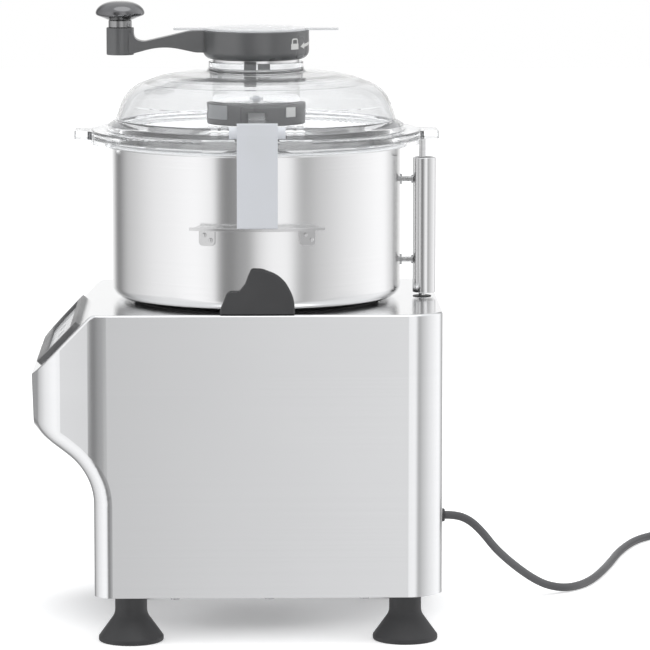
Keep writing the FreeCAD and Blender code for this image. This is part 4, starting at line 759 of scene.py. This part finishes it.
@dataclass
class Bowl:
    """The drawn bowl: rolled rim, rounded foot and the chimney that the shaft comes up through."""

    radius: float = 124.6
    wall: float = 1.5
    floor: float = 2.0
    low: float = 287.0
    top: float = 418.5
    foot_round: float = 10.0
    foot_drop: float = 2.4
    foot_step: float = 1.6
    seat_clear: float = 107.2
    bead: float = 2.6
    bead_height: float = 4.0
    chimney: float = 16.5
    bore: float = 13.5
    chimney_top: float = 341.0

    def build(self) -> list[Piece]:
        """Make the bowl."""
        inner, edge = self.radius - self.wall, self.radius + self.bead
        foot, floor, under = self.low - self.foot_drop, self.low + self.floor, self.top - self.bead_height
        outline = rounded([
            (self.bore, self.low), (self.seat_clear, self.low, 0.8), (self.seat_clear + self.foot_step, foot, 0.8),
            (self.radius, foot, self.foot_round), (self.radius, under, 0.6), (edge, under, 1.6),
            (edge, self.top, 1.7), (inner, self.top, 1.4), (inner, floor, self.foot_round - self.wall),
            (self.chimney, floor, 2.0), (self.chimney, self.chimney_top, 1.0),
            (self.bore, self.chimney_top, 0.5)], 10)
        return [revolved(outline, segments=256).piece("bowl_drawn", BOWL_STEEL, "bowl", ("bowl_shell",), sharp=50)]


@dataclass
class Catches:
    """The curved shelves that the latches close on, with riveted bracket plates under their ends."""

    wall_radius: float = 124.62
    outer: float = 137.5
    level: float = 353.5
    thick: float = 2.0
    half_angle: float = 24.5
    bracket_angle: float = 19.6
    bracket_half: float = 7.0
    bracket_drop: float = 13.5
    plate: float = 1.8
    lip: float = 1.5
    lip_rise: float = 0.6
    steps: int = 49
    rivet_spots: tuple[Pair, ...] = ((-2.2, -4.4), (3.4, -8.6))

    def shelf(self, middle: float) -> Form:
        """The shelf: a flat strip with a small upturned lip, carried along a part of a turn."""
        low, high = self.level, self.level + self.thick
        edge, lip = self.outer - self.lip, high + self.lip_rise
        radius, height = np.array([(self.wall_radius, low), (self.outer, low), (self.outer, lip), (edge, lip),
                                   (edge, high), (self.wall_radius, high)]).T
        angle = np.radians(np.linspace(middle - self.half_angle, middle + self.half_angle, self.steps))[:, None]
        return capped(np.stack(np.broadcast_arrays(
            AXIS_X + np.cos(angle) * radius, np.sin(angle) * radius, height), axis=-1))

    def bracket(self, middle: float) -> Form:
        """A plate bent round the wall, with round lower corners, and its two rivets."""
        half, drop = self.bracket_half, self.bracket_drop
        outline = rounded([(-half, -drop, 3.2), (half, -drop, 3.2), (half, 0.4), (-half, 0.4)], 6)
        sheet = plate(outline, 0.0, self.plate)
        dome = np.array([[0.0, self.plate - 0.3], [1.9, self.plate - 0.3], [1.9, self.plate + 0.3],
                         [1.2, self.plate + 0.9], [0.0, self.plate + 1.1]])
        for x, y in self.rivet_spots:
            sheet = sheet + revolved(dome, x, y, 24)
        return wrapped(sheet, self.wall_radius, middle, self.level)

    def build(self) -> list[Piece]:
        """Make a shelf and its brackets at the near and at the far side."""
        made = []
        for side, middle in (("near", -90.0), ("far", 90.0)):
            whole = self.shelf(middle)
            for turn in (-self.bracket_angle, self.bracket_angle):
                whole = whole + self.bracket(middle + turn)
            stands_for = (f"catch_shelf_{side}", "catch_rivets")
            made.append(whole.piece(f"catch_{side}", SHELF_STEEL, "bowl", stands_for, bevel=0.35))
        return made


@dataclass
class LockBlock:
    """The moulded stop at the near edge of the case's top, with a drawn-in front face."""

    low: float = 282.5
    front: float = -127.6
    inner: float = 125.2
    reach: float = 31.4
    draft: float = 1.3
    centre_rise: float = 15.0
    half_rise: float = 19.0

    def build(self) -> list[Piece]:
        """Make the block: three outlines at three depths, its back following the bowl's wall."""
        outline = rounded([
            (-self.reach, self.low), (self.reach, self.low), (self.reach - 0.4, 296.0, 30.0), (21.5, 314.5, 26.0),
            (4.0, 321.3, 14.0), (-5.0, 321.5, 3.0), (-7.6, 316.0, 5.0), (-10.4, 308.6, 7.0), (-15.5, 302.2, 3.5),
            (-25.5, 301.6, 3.0), (-28.4, 294.0, 8.0), (-self.reach, 286.5, 4.0)], 8)
        middle = np.array([0.0, self.low + self.centre_rise])
        shrunk = middle + (outline - middle) * (1 - self.draft / np.array([self.reach, self.half_rise]))
        shrunk[:, 1] = np.maximum(shrunk[:, 1], self.low)
        back = -np.sqrt(self.inner ** 2 - outline[:, 0] ** 2)
        layers = np.stack([lifted(shrunk, self.front), lifted(outline, self.front + self.draft),
                           np.column_stack([outline, back])])[:, :, [0, 2, 1]]
        form = capped(layers).moved(AXIS_X)
        return [form.piece("stop_block", BLACK_PLASTIC, "base", ("bowl_lock_block",), bevel=0.4, sharp=30)]


@dataclass
class Crank:
    """The crank: disc, arm and boss in one moulding, the steel sleeve under it, and the knob."""

    disc: float = 45.8
    low: float = 489.0
    top: float = 513.7
    chute: float = 30.0
    boss_out: float = 116.9
    boss_radius: float = 11.85
    boss_low: float = 492.6
    boss_top: float = 516.2
    arm_half: float = 9.0
    sleeve: float = 37.9
    sleeve_bore: float = 33.0
    sleeve_low: float = 453.0
    sleeve_bead: float = 478.5
    axle: float = 4.0
    knob_low: float = 522.7
    knob_wide: float = 528.6
    knob_rise: float = 10.3
    knob: float = 21.1

    def arm(self) -> Form:
        """The arm's side outline, thickened to both sides of its middle."""
        start, crest = 2.0 - self.boss_out, self.top - 0.2
        outline = rounded([
            (start, self.boss_top - 3.0), (-105.4, self.boss_top - 5.0, 1.0), (-103.9, 506.2, 5.0),
            (-97.0, 503.9, 12.0), (-58.0, 512.9, 40.0), (-40.0, crest), (-36.0, crest), (-36.0, 494.5),
            (-52.0, 494.9, 24.0), (-80.0, 500.9, 60.0), (-105.0, 494.2, 12.0), (start, self.boss_low + 0.4)], 8)
        return plate(outline, -self.arm_half, self.arm_half).turned(90.0, "x").moved(AXIS_X)

    def knob_outline(self) -> Outline:
        """The knob from its hollow underside to its crown.

        The crown is a quarter superellipse: r = R cos(t)^0.8 and z = wide + rise sin(t)^1.1.
        """
        wide, rise = self.knob_wide, self.knob_rise
        under = [(0.0, wide + 0.3), (self.axle, wide + 0.3), (self.axle, self.knob_low), (10.2, self.knob_low),
                 (11.2, self.knob_low + 0.25), (13.4, self.knob_low + 1.2), (17.0, wide - 3.2), (19.6, wide - 2.2),
                 (20.8, wide - 1.2)]
        turn = np.linspace(0.0, math.pi / 2, 26)
        crown = np.column_stack([self.knob * np.cos(turn) ** 0.8, wide + rise * np.sin(turn) ** 1.1])
        crown[-1, 0] = 0.0
        return np.vstack([under, crown])

    def build(self) -> list[Piece]:
        """Make the moulding, the sleeve and the knob."""
        centre, bead = AXIS_X - self.boss_out, self.sleeve_bead
        disc = revolved(rounded([
            (self.chute, self.low + 0.5), (self.disc, self.low, 7.5), (self.disc, self.top, 0.7),
            (self.chute, self.top, 0.7)], 10), segments=224)
        boss = revolved(rounded([
            (self.axle, self.boss_low), (self.boss_radius, self.boss_low, 0.8),
            (self.boss_radius, self.boss_top, 0.9), (self.axle, self.boss_top)], 6), centre, segments=96)
        sleeve = revolved(rounded([
            (self.sleeve_bore, self.sleeve_low), (self.sleeve, self.sleeve_low, 0.6), (self.sleeve, bead),
            (self.sleeve + 0.7, bead + 0.5, 0.4), (self.sleeve + 0.7, bead + 2.5, 0.4), (self.sleeve, bead + 3.0),
            (self.sleeve, self.low), (self.sleeve_bore, self.low)], 4), segments=192)
        knob = revolved(self.knob_outline(), centre, segments=128)
        return [
            (disc + self.arm() + boss).piece("crank_moulding", CRANK_PLASTIC, "crank", ("crank_arm",), sharp=40),
            sleeve.piece("crank_sleeve", POLISHED_STEEL, "crank", ("crank_arm",)),
            knob.piece("knob_cap", KNOB_PLASTIC, "knob", ("crank_knob",), sharp=50)]


@dataclass
class CrankMarks:
    """The padlock and the arrow printed on the right of the crank's disc."""

    radius: float = 45.8
    level: float = 502.4
    lock_angle: float = -43.8
    arrow_angle: float = -15.0
    arrow_low: float = -1.5
    arrow_rise: float = 0.107
    tip: float = -15.4
    neck: float = -9.2
    tail: float = 16.0
    wing: float = 2.7
    shaft_half: float = 1.3
    lock_half: float = 4.5
    lock_low: float = -3.6
    lock_high: float = 1.4
    bow_half: float = 3.1
    bow_rise: float = 4.1
    skin: float = 0.22

    def padlock(self) -> Form:
        """The lock's body and its square-shouldered shackle, a superellipse of power five."""
        across = np.linspace(-self.lock_half, self.lock_half, 10)
        case = strip(across, np.full(10, self.lock_low), np.full(10, self.lock_high), self.skin)
        turn = np.linspace(0.0, math.pi, 33)
        bow = lifted(np.column_stack([self.bow_half * np.sign(np.cos(turn)) * np.abs(np.cos(turn)) ** 0.4,
                                      1.2 + self.bow_rise * np.sin(turn) ** 0.4]), self.skin / 2)
        rod = np.array([[0.16, -0.6], [0.16, 0.6], [-0.16, 0.6], [-0.16, -0.6]])
        return case + swept(bow, rod, side=(0, 0, 1))

    def arrow(self) -> Form:
        """A broad arrow that points left and climbs a little to the right."""
        head = np.linspace(self.tip, self.neck, 8)
        shaft = np.linspace(self.neck, self.tail, 20)
        middle = self.arrow_low + (head - self.tip) * self.arrow_rise
        centre = self.arrow_low + (shaft - self.tip) * self.arrow_rise
        wing = 0.03 + (head - self.tip) * self.wing / (self.neck - self.tip)
        return strip(head, middle - wing, middle + wing, self.skin) + strip(
            shaft, centre - self.shaft_half, centre + self.shaft_half, self.skin)

    def build(self) -> list[Piece]:
        """Make both marks."""
        marks = (("padlock_mark", self.padlock(), self.lock_angle), ("arrow_mark", self.arrow(), self.arrow_angle))
        return [wrapped(form, self.radius, angle, self.level).piece(name, WHITE_PLASTIC, "crank")
                for name, form, angle in marks]


@dataclass
class ScraperTrim:
    """What shows on the scraper's drum and on the sleeve: a cover, a block, a seam, a clip, and dark patches on the
    sleeve's front that are a painted reflection.

    A patch is given by its first and last angle, its lower and upper height and its thickness.
    """

    drum: float = 42.5
    sleeve: float = 37.9
    facing: float = -90.5
    cover: tuple[float, ...] = (-72.0, -35.0, 439.3, 451.3, 0.5)
    block: tuple[float, ...] = (37.0, 51.0, 441.4, 449.6, 0.9)
    seam: tuple[float, ...] = (-18.2, -17.0, 434.8, 452.2, 0.12)
    # painted reflection: dark patches on the front of the steel sleeve, where it mirrors dark surroundings
    key: tuple[float, ...] = (-15.0, 0.5, 467.5, 488.6, 0.4)
    painted_reflection_side: tuple[float, ...] = (2.5, 18.0, 481.8, 486.2, 0.4)
    clip_low: float = 442.6
    clip_rise: float = 9.6
    clip_sway: float = 0.9
    wire: float = 0.5

    def patch(self, radius: float, start: float, stop: float, low: float, high: float, skin: float) -> Form:
        """A thin cover on a drum, between two angles from the camera's side and between two heights."""
        reach = np.radians(np.linspace(start, stop, 12)) * radius
        return wrapped(strip(reach, np.full(12, low), np.full(12, high), skin), radius, self.facing)

    def clip(self) -> Form:
        """A bent wire clip that lies on the drum."""
        turn = np.linspace(0.0, 1.0, 25)
        path = lifted(np.column_stack([-0.6 + self.clip_sway * np.sin(turn * 2.2 * math.pi),
                                       self.clip_low + self.clip_rise * turn]), self.wire / 2)
        angle = np.arange(10) * math.pi / 5
        wire = self.wire * np.column_stack([np.cos(angle), np.sin(angle)])
        return wrapped(swept(path, wire, side=(1, 0, 0)), self.drum, self.facing)

    def build(self) -> list[Piece]:
        """Make the small parts."""
        cover = self.patch(self.drum, *self.cover)
        block = self.patch(self.drum, *self.block)
        clip = self.patch(self.drum, *self.seam) + self.clip()
        # painted reflection: dark plastic patches laid on the front of the polished steel sleeve
        key = self.patch(self.sleeve, *self.key) + self.patch(self.sleeve, *self.painted_reflection_side)
        return [cover.piece("drum_cover", MARK_GREY, "crank"),
                block.piece("carrier_insert", WHITE_PLASTIC, "crank"),
                clip.piece("drum_clip", DISPLAY_BLACK, "crank", sharp=50),
                key.piece("sleeve_painted_reflection", CRANK_PLASTIC, "crank")]


@dataclass
class ControlPanel:
    """The bezel on the slope and the small key marks printed on its film."""

    bend: float = 139.6
    top: float = 282.5
    slope: float = 46.51
    film: float = 1.0
    half: float = 98.0
    upper: float = -16.6
    lower: float = -66.5
    border: float = 10.8
    wall: float = 3.6
    edge: float = 0.5
    key_row: float = -42.0
    key_places: tuple[float, ...] = (-60.0, -20.0, 20.0, 60.0)
    key_radius: float = 3.6
    key_line: float = 0.5

    def place(self, form: Form) -> Form:
        """Lay a flat form on the slope: x up the slope, y across it, z out of it."""
        return form.turned(-self.slope, "y").moved(AXIS_X - self.bend, 0.0, self.top)

    def outline(self, inset: float) -> Outline:
        """The bezel's outline drawn in by a distance: small upper corners and wide lower ones."""
        low, top, half = self.lower + inset, self.upper - inset * 0.7, self.half - inset
        wide, small = max(26.0 - inset * 0.6, 2.0), max(7.0 - inset / 2, 1.0)
        return rounded([(low, -half, wide), (top, -half, small), (top, half, small), (low, half, wide)], 12)

    def build(self) -> list[Piece]:
        """Make the bezel and four key marks."""
        wall, border, edge = self.wall, self.border, self.edge
        profile = ((0.0, 0.0), (0.0, wall - edge), (edge, wall), (border - edge, wall), (border, wall - edge),
                   (border, 0.0))
        rings = np.stack([lifted(self.outline(inset), height) for inset, height in profile])
        bezel = self.place(grid(rings, True, True))
        low, high = self.film - 0.2, self.film + 0.1
        inner, outer = self.key_radius, self.key_radius + self.key_line
        ring = np.array([[inner, low], [outer, low], [outer, high], [inner, high]])
        marks = Form(np.zeros((0, 3)), [])
        for y in self.key_places:
            marks = marks + revolved(ring, self.key_row, y, 48)
        return [bezel.piece("bezel_frame", BEZEL_PLASTIC, "base", ("control_bezel",), sharp=50),
                self.place(marks).piece("key_marks", MARK_GREY, "base")]


def main() -> None:
    """Load the frame, dress its solids, add the other pieces and log each one."""
    logging.basicConfig(level=logging.INFO, format="%(name)s: %(message)s")
    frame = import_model()
    nodes = frame["nodes"]
    Studio().build()
    LOG.info("made %s", MainsCord().build(nodes).name)
    dress_solids(nodes)
    for assembly in (Bowl(), Catches(), LockBlock(), Crank(), CrankMarks(), ScraperTrim(), ControlPanel()):
        for piece in assembly.build():
            LOG.info("made %s", piece.name)
    bpy.context.scene.view_settings.view_transform = "Standard"
    bpy.context.view_layer.update()


if __name__ == "__main__":
    main()
